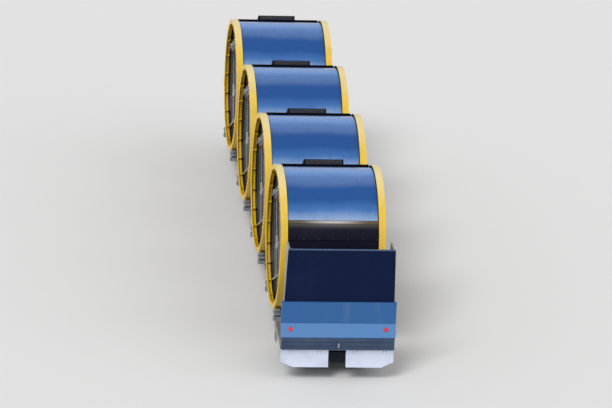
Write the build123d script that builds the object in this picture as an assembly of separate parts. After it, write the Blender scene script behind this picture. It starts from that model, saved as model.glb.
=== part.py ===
from build123d import *
from math import atan2, cos, degrees, radians, sin, sqrt
import os

# Funicular car: four drum cabins that turn to stay level, on one underframe with a goods platform.
# All sizes are in millimetres. +X is right, +Y is uphill along the track, +Z is up from the rails.
# The underframe is stored level, and the drums lean as they do on the slope.

# Drum cabins
drum_count = 4
drum_spacing = 400
drum_lean = 25
drum_half_width = 1130
skin_outer = 1740
skin_thickness = 40
end_wall_thickness = 60
inner_clearance = 0.3
glass_setback = 12
glass_thickness = 16

# Rims: channels that are open towards the drum's axis
rim_rise = 60
rim_depth = 120
rim_width = 170
rim_web = 24
rim_flange = 16
rim_gusset = 12
rim_gusset_count = 20

# Polar angles of the drum's panels: 0 points uphill, 90 up, 180 downhill
uphill_glass_angle = 8
roof_start_angle = 60
roof_end_angle = 96
downhill_glass_angle = 172
full_turn = 360

# Belly: sills under the glass and stringers across the skin
sill_rise = 14
sill_angle = 2.2
stringer_rise = 28
stringer_angle = 1.4
stringer_count = 12

# Roof unit, on a low plinth
roof_plinth_rise = 50
roof_plinth_margin = 50
roof_plinth_start_angle = 61
roof_plinth_end_angle = 84
roof_unit_rise = 240
roof_unit_start_angle = 62
roof_unit_end_angle = 83
roof_unit_half_width = 500
louvre_depth = 26
louvre_angle = 0.7
louvre_count = 9
louvre_side_margin = 50
louvre_middle_margin = 35

# Side doors
door_half_width = 620
door_sill_height = -950
door_head_height = 1080
door_gap = 6
door_thickness = 40
door_overlap = 30
door_stile = 90
door_waist = -150
door_slide_gap = 0.3
door_stand_off = 24
door_recess = 8
handle_width = 22
handle_depth = 34
handle_half_length = 160
handle_inset = 45
rail_height = 40
rail_end_gap = 24
rail_cover = 20

# Side windows beside the doors
side_window_inner = 740
side_window_bottom = -150
side_window_top = 850
side_window_wall_gap = 260
side_window_rim_gap = 180
side_window_corner = 60
frame_edge = 36
frame_rise = 12
edge_ring_width = 60

# Cabin interior
floor_thickness = 50
bench_depth = 840
bench_height = 450
bench_seat = 60
bench_wall_gap = 110
bench_riser_setback = 80
bench_riser_thickness = 40
bench_back_depth = 410
bench_back_thickness = 60
bench_back_height = 440
bench_back_slant = 90
pole_radius = 18
pole_wall_gap = 110
pole_u = 700

# Underframe
beam_centre = 1000
beam_width = 160
beam_bottom = 300
beam_top = 560
beam_web = 16
beam_flange = 24
stiffener_thickness = 12
stiffener_pitch = 850
stiffener_end = 380
frame_front_setback = 290
frame_rear_reach = 70
headstock_depth = 100
bolster_half_length = 180

# Cradle under each drum
roller_angle = 32
roller_radius = 110
roller_width = 130
roller_chamfer = 8
roller_hub_radius = 60
roller_recess = 22
roller_tyre_depth = 26
roller_axle_radius = 32
roller_axle_stub = 8
roller_gap = 0.3
cheek_thickness = 15
cheek_gap = 5
cheek_edge = 60
boss_radius = 50
boss_depth = 12
foot_thickness = 16
bracket_height = 140
transom_height = 80
transom_overhang = 20
transom_width = 140
shaft_fit = 0.3
drive_shaft_radius = 28
coupling_radius = 62
coupling_half_width = 45
gearbox_size = 170
gearbox_corner = 20
gearbox_foot_margin = 25
motor_radius = 84
motor_length = 380
motor_fin_radius = 95
motor_fin_thickness = 14
motor_fin_pitch = 34
motor_fin_count = 8
motor_foot_half_width = 60

# Bogies and wheelsets
front_bogie_setback = 140
wheelbase = 1200
tread_radius = 280
flange_height = 28
axle_radius = 55
wheel_centre = 755
bogie_plate_inner = 500
bogie_plate_outer = 560
bogie_bottom = 200
bogie_top = 440
bogie_length = 1760
bogie_end_chamfer = 120
bogie_end_rise = 60
bogie_plate_drop = 40
bogie_window_half_length = 190
bogie_window_half_height = 35
axle_box_radius = 115
axle_box_depth = 45
cross_box_half_length = 160
kingpin_radius = 80
running_fit = 0.08
bearer_gap = 0.3
web_hole_radius = 30
web_hole_circle = 163
web_hole_count = 6

# Goods platform and front end
deck_top = 900
deck_thickness = 40
deck_drum_gap = 150
deck_length = 1530
deck_half_width = 1380
deck_edge_depth = 140
deck_edge_thickness = 14
bearer_width = 60
bearer_inset = 440
wall_thickness = 60
wall_proud = 12
wall_plate = 16
wall_edge = 45
wall_rib_width = 40
wall_rib_places = (-900, -450, 0, 450, 900)
wall_side_setback = 30
wall_side_lean = 40
wall_bottom = 1985
wall_top = 3330
return_length = 700
return_taper = 175
return_thickness = 40
return_setback = 15
skirt_overhang = 30
skirt_plate = 60
skirt_slope_top = 1425
skirt_slope = 160
lamp_inset = 240
lamp_z = 1295
lamp_radius = 45
lamp_depth = 26
lamp_bezel_radius = 58
lamp_bezel_depth = 10
bumper_overhang = 5
bumper_bottom = 780
bumper_top = 1115
bumper_chamfer = 30
bumper_plate = 20
plough_inner = 215
plough_overhang = 7
plough_bottom = 345
plough_outer_rise = 120
plough_outer_run = 300
plough_thickness = 24
plough_setback = 60
plough_reach = 70
plough_curve = 46
plough_bracket_places = (0.18, 0.8)
plough_bracket_run = 145
plough_bracket_rise = 130
plough_bracket_thickness = 24
seat_gap = 0.3
riser_width = 120
riser_setback = 60
lock_hole_radius = 30
lock_spacing_x = 1800
lock_spacing_y = 900

# Couplings and rail brakes
lug_thickness = 40
tow_eye_length = 140
tow_eye_z = 945
tow_eye_radius = 70
tow_hole_radius = 30
rope_ear_length = 530
rope_ear_z = 430
rope_ear_radius = 110
rope_pin_radius = 40
clevis_gap = 120
clevis_root = 200
brake_offset = 410
brake_body = {"half_width": 110, "half_length": 220, "bottom": 150, "top": 280}
brake_jaw = {"inner": 45, "outer": 85, "half_length": 150, "bottom": 5}
brake_arm = {"half_length": 100, "bottom": 230}
brake_spring = {"radius": 48, "half_length": 140, "spacing": 260}


# Heights that follow from the pieces that carry each other
rim_outer = skin_outer + rim_rise
rim_inner = rim_outer - rim_depth
transom_top = beam_top + transom_height
roller_z = transom_top + bracket_height
roller_reach = rim_outer + roller_gap + roller_radius
drum_height = roller_z + roller_reach * cos(radians(roller_angle))

# Places along the car, which keep its origin at the middle of its length
drum_pitch = 2 * rim_outer + drum_spacing
drum_row = (drum_count - 1) * drum_pitch
front_reach = drum_row + rim_outer + deck_drum_gap + deck_length + skirt_slope + tow_eye_length
rear_reach = rim_outer + frame_rear_reach + rope_ear_length
first_drum_y = (front_reach - rear_reach) / 2
last_drum_y = first_drum_y - drum_row
deck_rear = last_drum_y - rim_outer - deck_drum_gap
wall_front = deck_rear - deck_length
frame_front = wall_front + frame_front_setback
frame_rear = first_drum_y + rim_outer + frame_rear_reach
bogie_positions = {"rear": first_drum_y - drum_pitch / 2, "front": deck_rear - front_bogie_setback}
bearer_places = (wall_front + bearer_inset, deck_rear - bearer_inset)
brake_places = [last_drum_y + drum_pitch * share + brake_offset for share in (1.5, 0.5)]

# Widths of the front end, which follow the deck's
wall_bottom_half_width = deck_half_width - wall_side_setback
wall_top_half_width = wall_bottom_half_width - wall_side_lean
skirt_half_width = deck_half_width + skirt_overhang
bumper_half_width = deck_half_width + bumper_overhang
plough_outer = deck_half_width + plough_overhang
lamp_x = skirt_half_width - lamp_inset


def slab(face, x_from, x_to):
    """A solid of a face drawn across the track's length, from one X to another."""
    return extrude(Plane.YZ.offset(x_from) * face, amount=x_to - x_from)


def block(x_from, x_to, y_from, y_to, z_from, z_to):
    """A box given by its limits."""
    size = (x_to - x_from, y_to - y_from, z_to - z_from)
    return Pos(x_from, y_from, z_from) * Box(*size, align=(Align.MIN, Align.MIN, Align.MIN))


def ring_sector(inner, outer, start, end):
    """A flat ring sector between two polar angles in degrees."""
    outer_arc = CenterArc((0, 0), outer, start, end - start)
    inner_arc = CenterArc((0, 0), inner, start, end - start)
    sides = [Line(outer_arc @ 0, inner_arc @ 0), Line(outer_arc @ 1, inner_arc @ 1)]
    return make_face([outer_arc, inner_arc, *sides])


def rod_along_x(radius, x_from, x_to, y, z):
    """A round bar along X."""
    return Pos(x_from, y, z) * Rot(0, 90, 0) * Cylinder(
        radius, x_to - x_from, align=(Align.CENTER, Align.CENTER, Align.MIN)
    )


def mirrored(shape):
    """The same shape on the other side of the car."""
    return mirror(shape, Plane.YZ)


def lean(shape, drum_y):
    """Carry a shape from the drum's own frame to its leaning place on the car."""
    return Pos(0, drum_y, drum_height) * Rot(-drum_lean, 0, 0) * shape


def drum_positions():
    """Each drum's number and place along the car, from the uphill end."""
    return [(number + 1, first_drum_y - number * drum_pitch) for number in range(drum_count)]


# Drum cabin, in its own frame: Y is uphill, Z up, origin at the drum's axis
skin_inner = skin_outer - skin_thickness
inside_radius = skin_inner - inner_clearance
end_wall_inner_x = drum_half_width - end_wall_thickness
door_face_x = drum_half_width + door_stand_off
rail_depth = door_stand_off + door_thickness + rail_cover
rail_top = max(door_head_height, -door_sill_height) + door_overlap + rail_height
rail_half_length = round(sqrt(rim_inner**2 - rail_top**2) - rail_end_gap, -1)  # cut to whole centimetres
side_window_outer = skin_outer - side_window_wall_gap
side_window_radius = skin_outer - side_window_rim_gap
floor_top = door_sill_height
bench_front = skin_outer - bench_depth
bench_top = floor_top + bench_height
bench_back_start = skin_outer - bench_back_depth
bench_half_width = end_wall_inner_x - bench_wall_gap
pole_x = end_wall_inner_x - pole_wall_gap


def belly_skin():
    """The lower skin with a sill under each glass and stringers from rim to rim."""
    start = downhill_glass_angle
    end = full_turn + uphill_glass_angle
    face = ring_sector(skin_inner, skin_outer, start, end)
    face += ring_sector(skin_outer, skin_outer + sill_rise, start, start + sill_angle)
    face += ring_sector(skin_outer, skin_outer + sill_rise, end - sill_angle, end)
    step = (end - start) / (stringer_count + 1)
    for number in range(stringer_count):
        middle = start + (number + 1) * step
        face += ring_sector(
            skin_outer,
            skin_outer + stringer_rise,
            middle - stringer_angle / 2,
            middle + stringer_angle / 2,
        )
    return [slab(face, -drum_half_width, drum_half_width)]


def roof_skin():
    """The roof band with the louvred roof unit on its plinth."""
    band_sector = ring_sector(skin_inner, skin_outer, roof_start_angle, roof_end_angle)
    band = slab(band_sector, -drum_half_width, drum_half_width)
    plinth_outer = skin_outer + roof_plinth_rise
    plinth_half_width = roof_unit_half_width + roof_plinth_margin
    plinth_sector = ring_sector(
        skin_outer, plinth_outer, roof_plinth_start_angle, roof_plinth_end_angle
    )
    plinth = slab(plinth_sector, -plinth_half_width, plinth_half_width)
    unit_outer = skin_outer + roof_unit_rise
    unit_sector = ring_sector(plinth_outer, unit_outer, roof_unit_start_angle, roof_unit_end_angle)
    unit = slab(unit_sector, -roof_unit_half_width, roof_unit_half_width)
    step = (roof_unit_end_angle - roof_unit_start_angle) / (louvre_count + 1)
    for number in range(louvre_count):
        start = roof_unit_start_angle + (number + 1) * step
        slot = ring_sector(unit_outer - louvre_depth, unit_outer + louvre_depth, start, start + louvre_angle)
        cut = slab(slot, louvre_middle_margin, roof_unit_half_width - louvre_side_margin)
        unit = unit - cut - mirrored(cut)
    return [band + plinth + unit]


def side_window(side):
    """Outline of an end wall's window, rounded at its corners and cut by the drum's curve."""
    width = side_window_outer - side_window_inner
    height = side_window_top - side_window_bottom
    centre_u = side * (side_window_inner + side_window_outer) / 2
    centre_w = (side_window_top + side_window_bottom) / 2
    outline = Pos(centre_u, centre_w) * RectangleRounded(width, height, side_window_corner)
    return outline & Circle(side_window_radius)


def door_opening():
    height = door_head_height - door_sill_height
    return Pos(0, (door_head_height + door_sill_height) / 2) * Rectangle(2 * door_half_width, height)


def end_wall():
    """One end wall with its doorway, its framed windows and the rails that carry the doors."""
    windows = side_window(-1) + side_window(1)
    face = Circle(inside_radius) - door_opening() - windows
    wall = slab(face, end_wall_inner_x, drum_half_width)
    raised = Circle(inside_radius) - Circle(rim_inner - edge_ring_width)
    raised += offset(windows, frame_edge, kind=Kind.INTERSECTION) & Circle(inside_radius)
    raised += offset(door_opening(), frame_edge, kind=Kind.INTERSECTION)
    raised = (raised - windows - door_opening()) & Circle(rim_inner - inner_clearance)
    wall += slab(raised, drum_half_width, drum_half_width + frame_rise)
    head_centre = door_head_height + door_overlap + rail_height / 2
    sill_centre = door_sill_height - door_overlap - rail_height / 2
    for centre in (head_centre, sill_centre):
        rail = Pos(0, centre) * Rectangle(2 * rail_half_length, rail_height)
        wall += slab(rail, drum_half_width, drum_half_width + rail_depth)
    return wall


def end_walls():
    right = end_wall()
    return [right, mirrored(right)]


def glazing():
    """The curved glass at both faces and the panes in the end walls."""
    spans = ((uphill_glass_angle, roof_start_angle), (roof_end_angle, downhill_glass_angle))
    curved = [
        slab(ring_sector(skin_inner, skin_outer, start, end), -drum_half_width, drum_half_width)
        for start, end in spans
    ]
    pane_outer = drum_half_width - glass_setback
    panes = [
        slab(side_window(side), pane_outer - glass_thickness, pane_outer) for side in (-1, 1)
    ]
    return curved + panes + [mirrored(pane) for pane in panes]


def rims():
    """The two broad rings that the drum rolls on, with gussets between their flanges."""
    outer_x = drum_half_width + rim_width
    flange = Circle(rim_outer) - Circle(rim_inner)
    ring = slab(flange, drum_half_width, drum_half_width + rim_flange)
    ring += slab(Circle(rim_outer) - Circle(rim_outer - rim_web), drum_half_width, outer_x)
    ring += slab(flange, outer_x - rim_flange, outer_x)
    gusset_depth = rim_outer - rim_web - rim_inner
    gusset = Pos(rim_inner + gusset_depth / 2, 0) * Rectangle(gusset_depth + rim_web / 2, rim_gusset)
    gussets = PolarLocations(0, rim_gusset_count) * gusset
    for place in gussets:
        ring += slab(place, drum_half_width + rim_flange, outer_x - rim_flange)
    return [ring, mirrored(ring)]


def interior():
    """Floor, two benches and the grab poles at the doorways."""
    inside_x = end_wall_inner_x - inner_clearance
    bounds = slab(Circle(inside_radius), -inside_x, inside_x)
    floor = block(
        -inside_x, inside_x, -skin_inner, skin_inner, floor_top - floor_thickness, floor_top
    )
    riser_front = bench_front + bench_riser_setback
    bench = make_face(
        Polyline(
            (bench_front, bench_top),
            (bench_front, bench_top - bench_seat),
            (riser_front, bench_top - bench_seat),
            (riser_front, floor_top),
            (riser_front + bench_riser_thickness, floor_top),
            (riser_front + bench_riser_thickness, bench_top - bench_seat),
            (skin_inner, bench_top - bench_seat),
            (skin_inner, bench_top),
            (bench_back_start + bench_back_thickness, bench_top),
            (bench_back_start + bench_back_thickness + bench_back_slant, bench_top + bench_back_height),
            (bench_back_start + bench_back_slant, bench_top + bench_back_height),
            (bench_back_start, bench_top),
            close=True,
        )
    )
    uphill_bench = slab(bench, -bench_half_width, bench_half_width)
    parts = [uphill_bench, mirror(uphill_bench, Plane.XZ)]
    for side in (-1, 1):
        for x in (-pole_x, pole_x):
            pole = Pos(x, side * pole_u, floor_top) * Cylinder(
                pole_radius, 2 * skin_outer, align=(Align.CENTER, Align.CENTER, Align.MIN)
            )
            parts.append(pole)
    return [(floor + parts) & bounds]


def door_leaf(side, half):
    """One sliding door leaf: half is -1 for the downhill leaf and 1 for the uphill one."""
    inner = half * door_gap / 2
    outer = half * (door_half_width + door_overlap)
    bottom = door_sill_height - door_overlap + door_slide_gap
    top = door_head_height + door_overlap - door_slide_gap
    u_from, u_to = sorted((inner, outer))
    centre = (u_from + u_to) / 2
    outline = Pos(centre, (bottom + top) / 2) * Rectangle(u_to - u_from, top - bottom)
    panel_width = u_to - u_from - 2 * door_stile
    window_height = door_head_height - door_stile - door_waist
    window = Pos(centre, door_waist + window_height / 2) * RectangleRounded(
        panel_width, window_height, side_window_corner
    )
    recess_bottom = bottom + door_stile
    recess_top = door_waist - door_stile
    recess = Pos(centre, (recess_bottom + recess_top) / 2) * RectangleRounded(
        panel_width, recess_top - recess_bottom, side_window_corner
    )
    outer_x = door_face_x + door_thickness
    leaf = slab(outline - window, door_face_x, outer_x)
    leaf -= slab(recess, outer_x - door_recess, outer_x)
    handle_u = inner + half * handle_inset
    leaf += block(
        outer_x,
        outer_x + handle_depth,
        handle_u - handle_width / 2,
        handle_u + handle_width / 2,
        door_waist - handle_half_length,
        door_waist + handle_half_length,
    )
    middle = door_face_x + door_thickness / 2
    pane = slab(window, middle - glass_thickness / 2, middle + glass_thickness / 2)
    parts = [leaf, pane]
    return parts if side > 0 else [mirrored(part) for part in parts]


# Underframe
beam_inner_x = beam_centre - beam_width / 2
roller_offset_y = roller_reach * sin(radians(roller_angle))
roller_centre_x = drum_half_width + rim_width / 2
cheek_outer = roller_width / 2 + cheek_gap + cheek_thickness
roller_axle_reach = cheek_outer + boss_depth + roller_axle_stub
transom_half_length = drum_half_width + rim_width + transom_overhang


def side_beam():
    """A welded I-section beam with upright stiffeners on both sides of its web."""
    height = beam_top - beam_bottom
    centre_z = (beam_top + beam_bottom) / 2
    section = Rectangle(beam_width, height) - [
        Pos(side * (beam_width + beam_web) / 4, 0)
        * Rectangle((beam_width - beam_web) / 2, height - 2 * beam_flange)
        for side in (-1, 1)
    ]
    plane = Plane(origin=(beam_centre, frame_front, centre_z), x_dir=(1, 0, 0), z_dir=(0, 1, 0))
    beam = extrude(plane * section, amount=frame_rear - frame_front)
    stiffener_count = int((frame_rear - frame_front - 2 * stiffener_end) / stiffener_pitch) + 1
    stiffeners = [
        block(
            beam_centre - beam_width / 2 + stiffener_thickness,
            beam_centre + beam_width / 2 - stiffener_thickness,
            y,
            y + stiffener_thickness,
            beam_bottom + beam_flange,
            beam_top - beam_flange,
        )
        for y in (frame_front + stiffener_end + number * stiffener_pitch for number in range(stiffener_count))
    ]
    return beam + stiffeners


def side_beams():
    right = side_beam()
    return [right, mirrored(right)]


def cross_members():
    """Headstocks at both ends and the bolsters over the bogies."""
    members = []
    for y_from, y_to in (
        (frame_front, frame_front + headstock_depth),
        (frame_rear - headstock_depth, frame_rear),
    ):
        members.append(block(-beam_inner_x, beam_inner_x, y_from, y_to, beam_bottom, beam_top))
    for y in bogie_positions.values():
        bolster = block(
            -beam_inner_x,
            beam_inner_x,
            y - bolster_half_length,
            y + bolster_half_length,
            bogie_top + bearer_gap,
            beam_top,
        )
        hole = Pos(0, y, beam_bottom) * Cylinder(
            kingpin_radius + running_fit, 2 * beam_top, align=(Align.CENTER, Align.CENTER, Align.MIN)
        )
        members.append(bolster - hole)
    return members


def roller_places():
    """Each cradle roller's drum and offset along the car."""
    return [
        (drum_y, drum_y + side * roller_offset_y, side)
        for number, drum_y in drum_positions()
        for side in (-1, 1)
    ]


def roller_bracket(y, side):
    """A foot with two cheeks, their bearing bosses and a rib, which hold one roller's axle."""
    centre_x = side * roller_centre_x
    half = roller_width / 2 + cheek_gap
    foot_middle = Pos(y, transom_top + foot_thickness / 2)
    cheek_outline = make_hull(
        [
            *(Pos(y, roller_z) * Circle(cheek_edge)).edges(),
            *(foot_middle * Rectangle(transom_width, foot_thickness)).edges(),
        ]
    )
    bore = Pos(y, roller_z) * Circle(roller_axle_radius + shaft_fit)
    cheek_outline -= bore
    boss_outline = Pos(y, roller_z) * Circle(boss_radius) - bore
    foot = block(
        centre_x - cheek_outer,
        centre_x + cheek_outer,
        y - transom_width / 2,
        y + transom_width / 2,
        transom_top,
        transom_top + foot_thickness,
    )
    bracket = foot
    for inner in (-cheek_outer, half):
        bracket += slab(cheek_outline, centre_x + inner, centre_x + inner + cheek_thickness)
    for inner in (-cheek_outer - boss_depth, cheek_outer):
        bracket += slab(boss_outline, centre_x + inner, centre_x + inner + boss_depth)
    return bracket


def roller_transoms():
    """The cross beams under the drums, each with a roller bracket near both ends."""
    solids = []
    for drum_y, y, end in roller_places():
        solids.append(
            block(
                -transom_half_length,
                transom_half_length,
                y - transom_width / 2,
                y + transom_width / 2,
                beam_top,
                transom_top,
            )
        )
        solids += [roller_bracket(y, side) for side in (-1, 1)]
    return solids


def cradle_roller():
    """A roller with chamfered tread and dished sides on its axle, turned about the origin."""
    half = roller_width / 2
    tyre_inner = roller_radius - roller_tyre_depth
    right_side = [
        (half - roller_chamfer, roller_radius),
        (half, roller_radius - roller_chamfer),
        (half, tyre_inner),
        (half - roller_recess, tyre_inner),
        (half - roller_recess, roller_hub_radius),
        (half, roller_hub_radius),
        (half, roller_axle_radius),
        (roller_axle_reach, roller_axle_radius),
        (roller_axle_reach, 0),
    ]
    left_side = [(-along, radius) for along, radius in reversed(right_side)]
    profile = make_face(Polyline(*left_side, *right_side, close=True))
    return revolve(Plane.XZ * profile, Axis.X)


def cradle_rollers():
    roller = cradle_roller()
    return [
        Pos(side * roller_centre_x, y, roller_z) * roller
        for drum_y, y, end in roller_places()
        for side in (-1, 1)
    ]


def level_drives():
    """The cross shaft, gearbox and motor that turn each drum's uphill rollers."""
    drives = []
    shaft_end = roller_centre_x - roller_axle_reach - shaft_fit
    half = gearbox_size / 2
    foot_reach = half + gearbox_foot_margin
    motor_end = half + motor_length
    for number, drum_y in drum_positions():
        y = drum_y + roller_offset_y
        drive = rod_along_x(drive_shaft_radius, -shaft_end, shaft_end, y, roller_z)
        for x in (-shaft_end + coupling_half_width, shaft_end - coupling_half_width):
            drive += rod_along_x(
                coupling_radius, x - coupling_half_width, x + coupling_half_width, y, roller_z
            )
        gearbox = block(-half, half, y - half, y + half, roller_z - half, roller_z + half)
        drive += fillet(gearbox.edges().filter_by(Axis.X), gearbox_corner)
        drive += block(
            -foot_reach, foot_reach, y - transom_width / 2, y + transom_width / 2, transom_top, roller_z - half
        )
        drive += rod_along_x(motor_radius, half, motor_end, y, roller_z)
        for fin in range(motor_fin_count):
            fin_x = motor_end - (fin + 1) * motor_fin_pitch
            drive += rod_along_x(motor_fin_radius, fin_x, fin_x + motor_fin_thickness, y, roller_z)
        foot_x = (half + motor_end) / 2
        drive += block(
            foot_x - motor_foot_half_width,
            foot_x + motor_foot_half_width,
            y - transom_width / 2,
            y + transom_width / 2,
            transom_top,
            roller_z - drive_shaft_radius,
        )
        drives.append(drive)
    return drives


# Bogies and wheelsets
axle_height = tread_radius + flange_height


def bogie(y):
    """Two pierced side plates with axle boxes, a cross box and the kingpin."""
    half_length = bogie_length / 2
    plate_top = bogie_top - bogie_plate_drop
    outline = make_face(
        Polyline(
            (y - half_length, bogie_bottom + bogie_end_rise),
            (y - half_length + bogie_end_chamfer, bogie_bottom),
            (y + half_length - bogie_end_chamfer, bogie_bottom),
            (y + half_length, bogie_bottom + bogie_end_rise),
            (y + half_length, plate_top),
            (y - half_length, plate_top),
            close=True,
        )
    )
    bores = [Pos(axle_y, axle_height) * Circle(axle_radius + running_fit) for axle_y in axle_places(y)]
    window = Rectangle(2 * bogie_window_half_length, 2 * bogie_window_half_height)
    plate = slab(
        outline - bores - Pos(y, (bogie_bottom + plate_top) / 2) * window,
        bogie_plate_inner,
        bogie_plate_outer,
    )
    boxes = [Pos(axle_y, axle_height) * Circle(axle_box_radius) for axle_y in axle_places(y)]
    for box, bore in zip(boxes, bores):
        plate += slab(box - bore, bogie_plate_outer, bogie_plate_outer + axle_box_depth)
    cross = block(
        -bogie_plate_inner,
        bogie_plate_inner,
        y - cross_box_half_length,
        y + cross_box_half_length,
        bogie_bottom + bogie_plate_drop,
        bogie_top,
    )
    pin = Pos(0, y, bogie_top) * Cylinder(
        kingpin_radius, beam_top - bogie_top, align=(Align.CENTER, Align.CENTER, Align.MIN)
    )
    return plate + mirrored(plate) + cross + pin


def axle_places(bogie_y):
    return (bogie_y - wheelbase / 2, bogie_y + wheelbase / 2)


# Wheel profiles: distance from the wheel's centre plane and radius
grooved_wheel = ((-72, 0), (-72, 28), (-44, 28), (-40, 0), (40, 0), (44, 28), (72, 28), (72, 0))
plain_wheel = ((-90, 0), (90, 0))
hub_half_width = 85
hub_radius = 100
web_half_width = 20
tyre_depth = 50


def wheelset(y):
    """An axle with a double-flanged wheel on the left and a plain roller wheel on the right."""
    points = [(-wheel_centre - hub_half_width, 0)]
    for centre, profile in ((-wheel_centre, grooved_wheel), (wheel_centre, plain_wheel)):
        half = abs(profile[0][0])
        tyre_inner = tread_radius - tyre_depth
        points += [
            (centre - hub_half_width, axle_radius if centre > 0 else 0),
            (centre - hub_half_width, hub_radius),
            (centre - web_half_width, hub_radius),
            (centre - web_half_width, tyre_inner),
            (centre - half, tyre_inner),
        ]
        points += [(centre + offset, tread_radius + rise) for offset, rise in profile]
        points += [
            (centre + half, tyre_inner),
            (centre + web_half_width, tyre_inner),
            (centre + web_half_width, hub_radius),
            (centre + hub_half_width, hub_radius),
            (centre + hub_half_width, axle_radius if centre < 0 else 0),
        ]
    outline = []
    for point in points:
        if not outline or point != outline[-1]:
            outline.append(point)
    profile = make_face(Polyline(*outline, close=True))
    turned = revolve(Plane.XZ * profile, Axis.X)
    holes = PolarLocations(web_hole_circle, web_hole_count) * Circle(web_hole_radius)
    for centre in (-wheel_centre, wheel_centre):
        for hole in holes:
            turned -= slab(hole, centre - hub_half_width, centre + hub_half_width)
    return Pos(0, y, axle_height) * turned


# Goods platform and front end
deck_bottom = deck_top - deck_thickness
deck_front = wall_front + wall_thickness + seat_gap


def platform():
    """The goods deck with its edge, bearers and two side panels, on two risers."""
    centre_y = (deck_front + deck_rear) / 2
    outline = Pos(0, centre_y) * Rectangle(2 * deck_half_width, deck_rear - deck_front)
    deck = Pos(0, 0, deck_bottom) * extrude(outline, deck_thickness)
    edge = outline - offset(outline, -deck_edge_thickness, kind=Kind.INTERSECTION)
    deck += Pos(0, 0, deck_bottom - deck_edge_depth) * extrude(edge, deck_edge_depth)
    inner_reach = beam_centre - riser_width / 2 - seat_gap
    outer_start = beam_centre + riser_width / 2 + seat_gap
    for y in bearer_places:
        ends = (y - bearer_width / 2, y + bearer_width / 2, deck_bottom - deck_edge_depth, deck_bottom)
        outer_bearer = block(outer_start, deck_half_width, *ends)
        deck = deck + block(-inner_reach, inner_reach, *ends) + outer_bearer + mirrored(outer_bearer)
    panel_outline = make_face(
        Polyline(
            (deck_front, deck_top),
            (deck_front + return_length, deck_top),
            (deck_front + return_length - return_taper, wall_top),
            (deck_front, wall_top),
            close=True,
        )
    )
    panel_outer = wall_top_half_width - return_setback
    panel = slab(panel_outline, panel_outer - return_thickness, panel_outer)
    deck = deck + panel + mirrored(panel)
    for x in (-lock_spacing_x / 2, lock_spacing_x / 2):
        for y in (-lock_spacing_y / 2, lock_spacing_y / 2):
            deck -= Pos(x, centre_y + y, deck_bottom) * Cylinder(lock_hole_radius, 4 * deck_thickness)
    solids = [deck]
    for side in (-1, 1):
        centre_x = side * beam_centre
        solids.append(
            block(
                centre_x - riser_width / 2,
                centre_x + riser_width / 2,
                deck_front + deck_edge_thickness + seat_gap,
                deck_rear - riser_setback,
                beam_top,
                deck_bottom,
            )
        )
    return solids


def wall_outline():
    return make_face(
        Polyline(
            (-wall_bottom_half_width, wall_bottom),
            (wall_bottom_half_width, wall_bottom),
            (wall_top_half_width, wall_top),
            (-wall_top_half_width, wall_top),
            close=True,
        )
    )


def facing_front(face, y_from, y_to):
    """A solid of a face drawn as seen from the front, from one Y to another."""
    plane = Plane(origin=(0, y_from, 0), x_dir=(1, 0, 0), z_dir=(0, -1, 0))
    return extrude(plane * face, amount=y_from - y_to)


def front_wall():
    """The tall front wall: a plate in a raised frame, with upright ribs behind it."""
    outline = wall_outline()
    wall_back = wall_front + wall_thickness
    plate_front = wall_front + wall_proud
    wall = facing_front(outline, plate_front, plate_front + wall_plate)
    wall += facing_front(outline - offset(outline, -wall_edge, kind=Kind.INTERSECTION), wall_front, wall_back)
    for x in wall_rib_places:
        wall += block(
            x - wall_rib_width / 2,
            x + wall_rib_width / 2,
            plate_front,
            wall_back,
            wall_bottom + wall_edge / 2,
            wall_top - wall_edge / 2,
        )
    return [wall]


skirt_bottom = bumper_top + seat_gap
bumper_front = wall_front - skirt_slope


def front_skirt():
    """The skirt below the wall, whose lower part slopes out to the bumper."""
    outline = make_face(
        Polyline(
            (wall_front, wall_bottom),
            (wall_front, skirt_slope_top),
            (bumper_front, skirt_bottom),
            (bumper_front + skirt_plate, skirt_bottom),
            (wall_front + skirt_plate, skirt_slope_top),
            (wall_front + skirt_plate, wall_bottom),
            close=True,
        )
    )
    return [slab(outline, -skirt_half_width, skirt_half_width)]


def tail_lamps():
    """Two round lamps in their bezels on the skirt's sloping face."""
    drop = skirt_slope_top - skirt_bottom
    tilt = degrees(atan2(skirt_slope, drop))
    face_y = wall_front - skirt_slope * (skirt_slope_top - lamp_z) / drop
    seat = (Align.CENTER, Align.CENTER, Align.MIN)
    lamp = Cylinder(lamp_radius, lamp_depth, align=seat)
    lamp += Cylinder(lamp_bezel_radius, lamp_bezel_depth, align=seat)
    return [Pos(x, face_y, lamp_z) * Rot(90 - tilt, 0, 0) * lamp for x in (-lamp_x, lamp_x)]


def bumper_beam():
    """A channel across the deck's front edge, open towards the car."""
    bumper_back = deck_front - seat_gap
    outline = Polyline(
        (bumper_back, bumper_bottom),
        (bumper_front + bumper_chamfer, bumper_bottom),
        (bumper_front, bumper_bottom + bumper_chamfer),
        (bumper_front, bumper_top - bumper_chamfer),
        (bumper_front + bumper_chamfer, bumper_top),
        (bumper_back, bumper_top),
    )
    channel = make_face([*outline.edges(), Line(outline @ 1, outline @ 0)])
    hollow_top = bumper_top - bumper_plate
    hollow_bottom = bumper_bottom + bumper_plate
    channel -= Pos((bumper_front + bumper_chamfer + bumper_back) / 2, (bumper_top + bumper_bottom) / 2) * (
        Rectangle(bumper_back - bumper_front - bumper_chamfer, hollow_top - hollow_bottom)
    )
    return [slab(channel, -bumper_half_width, bumper_half_width)]


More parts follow.
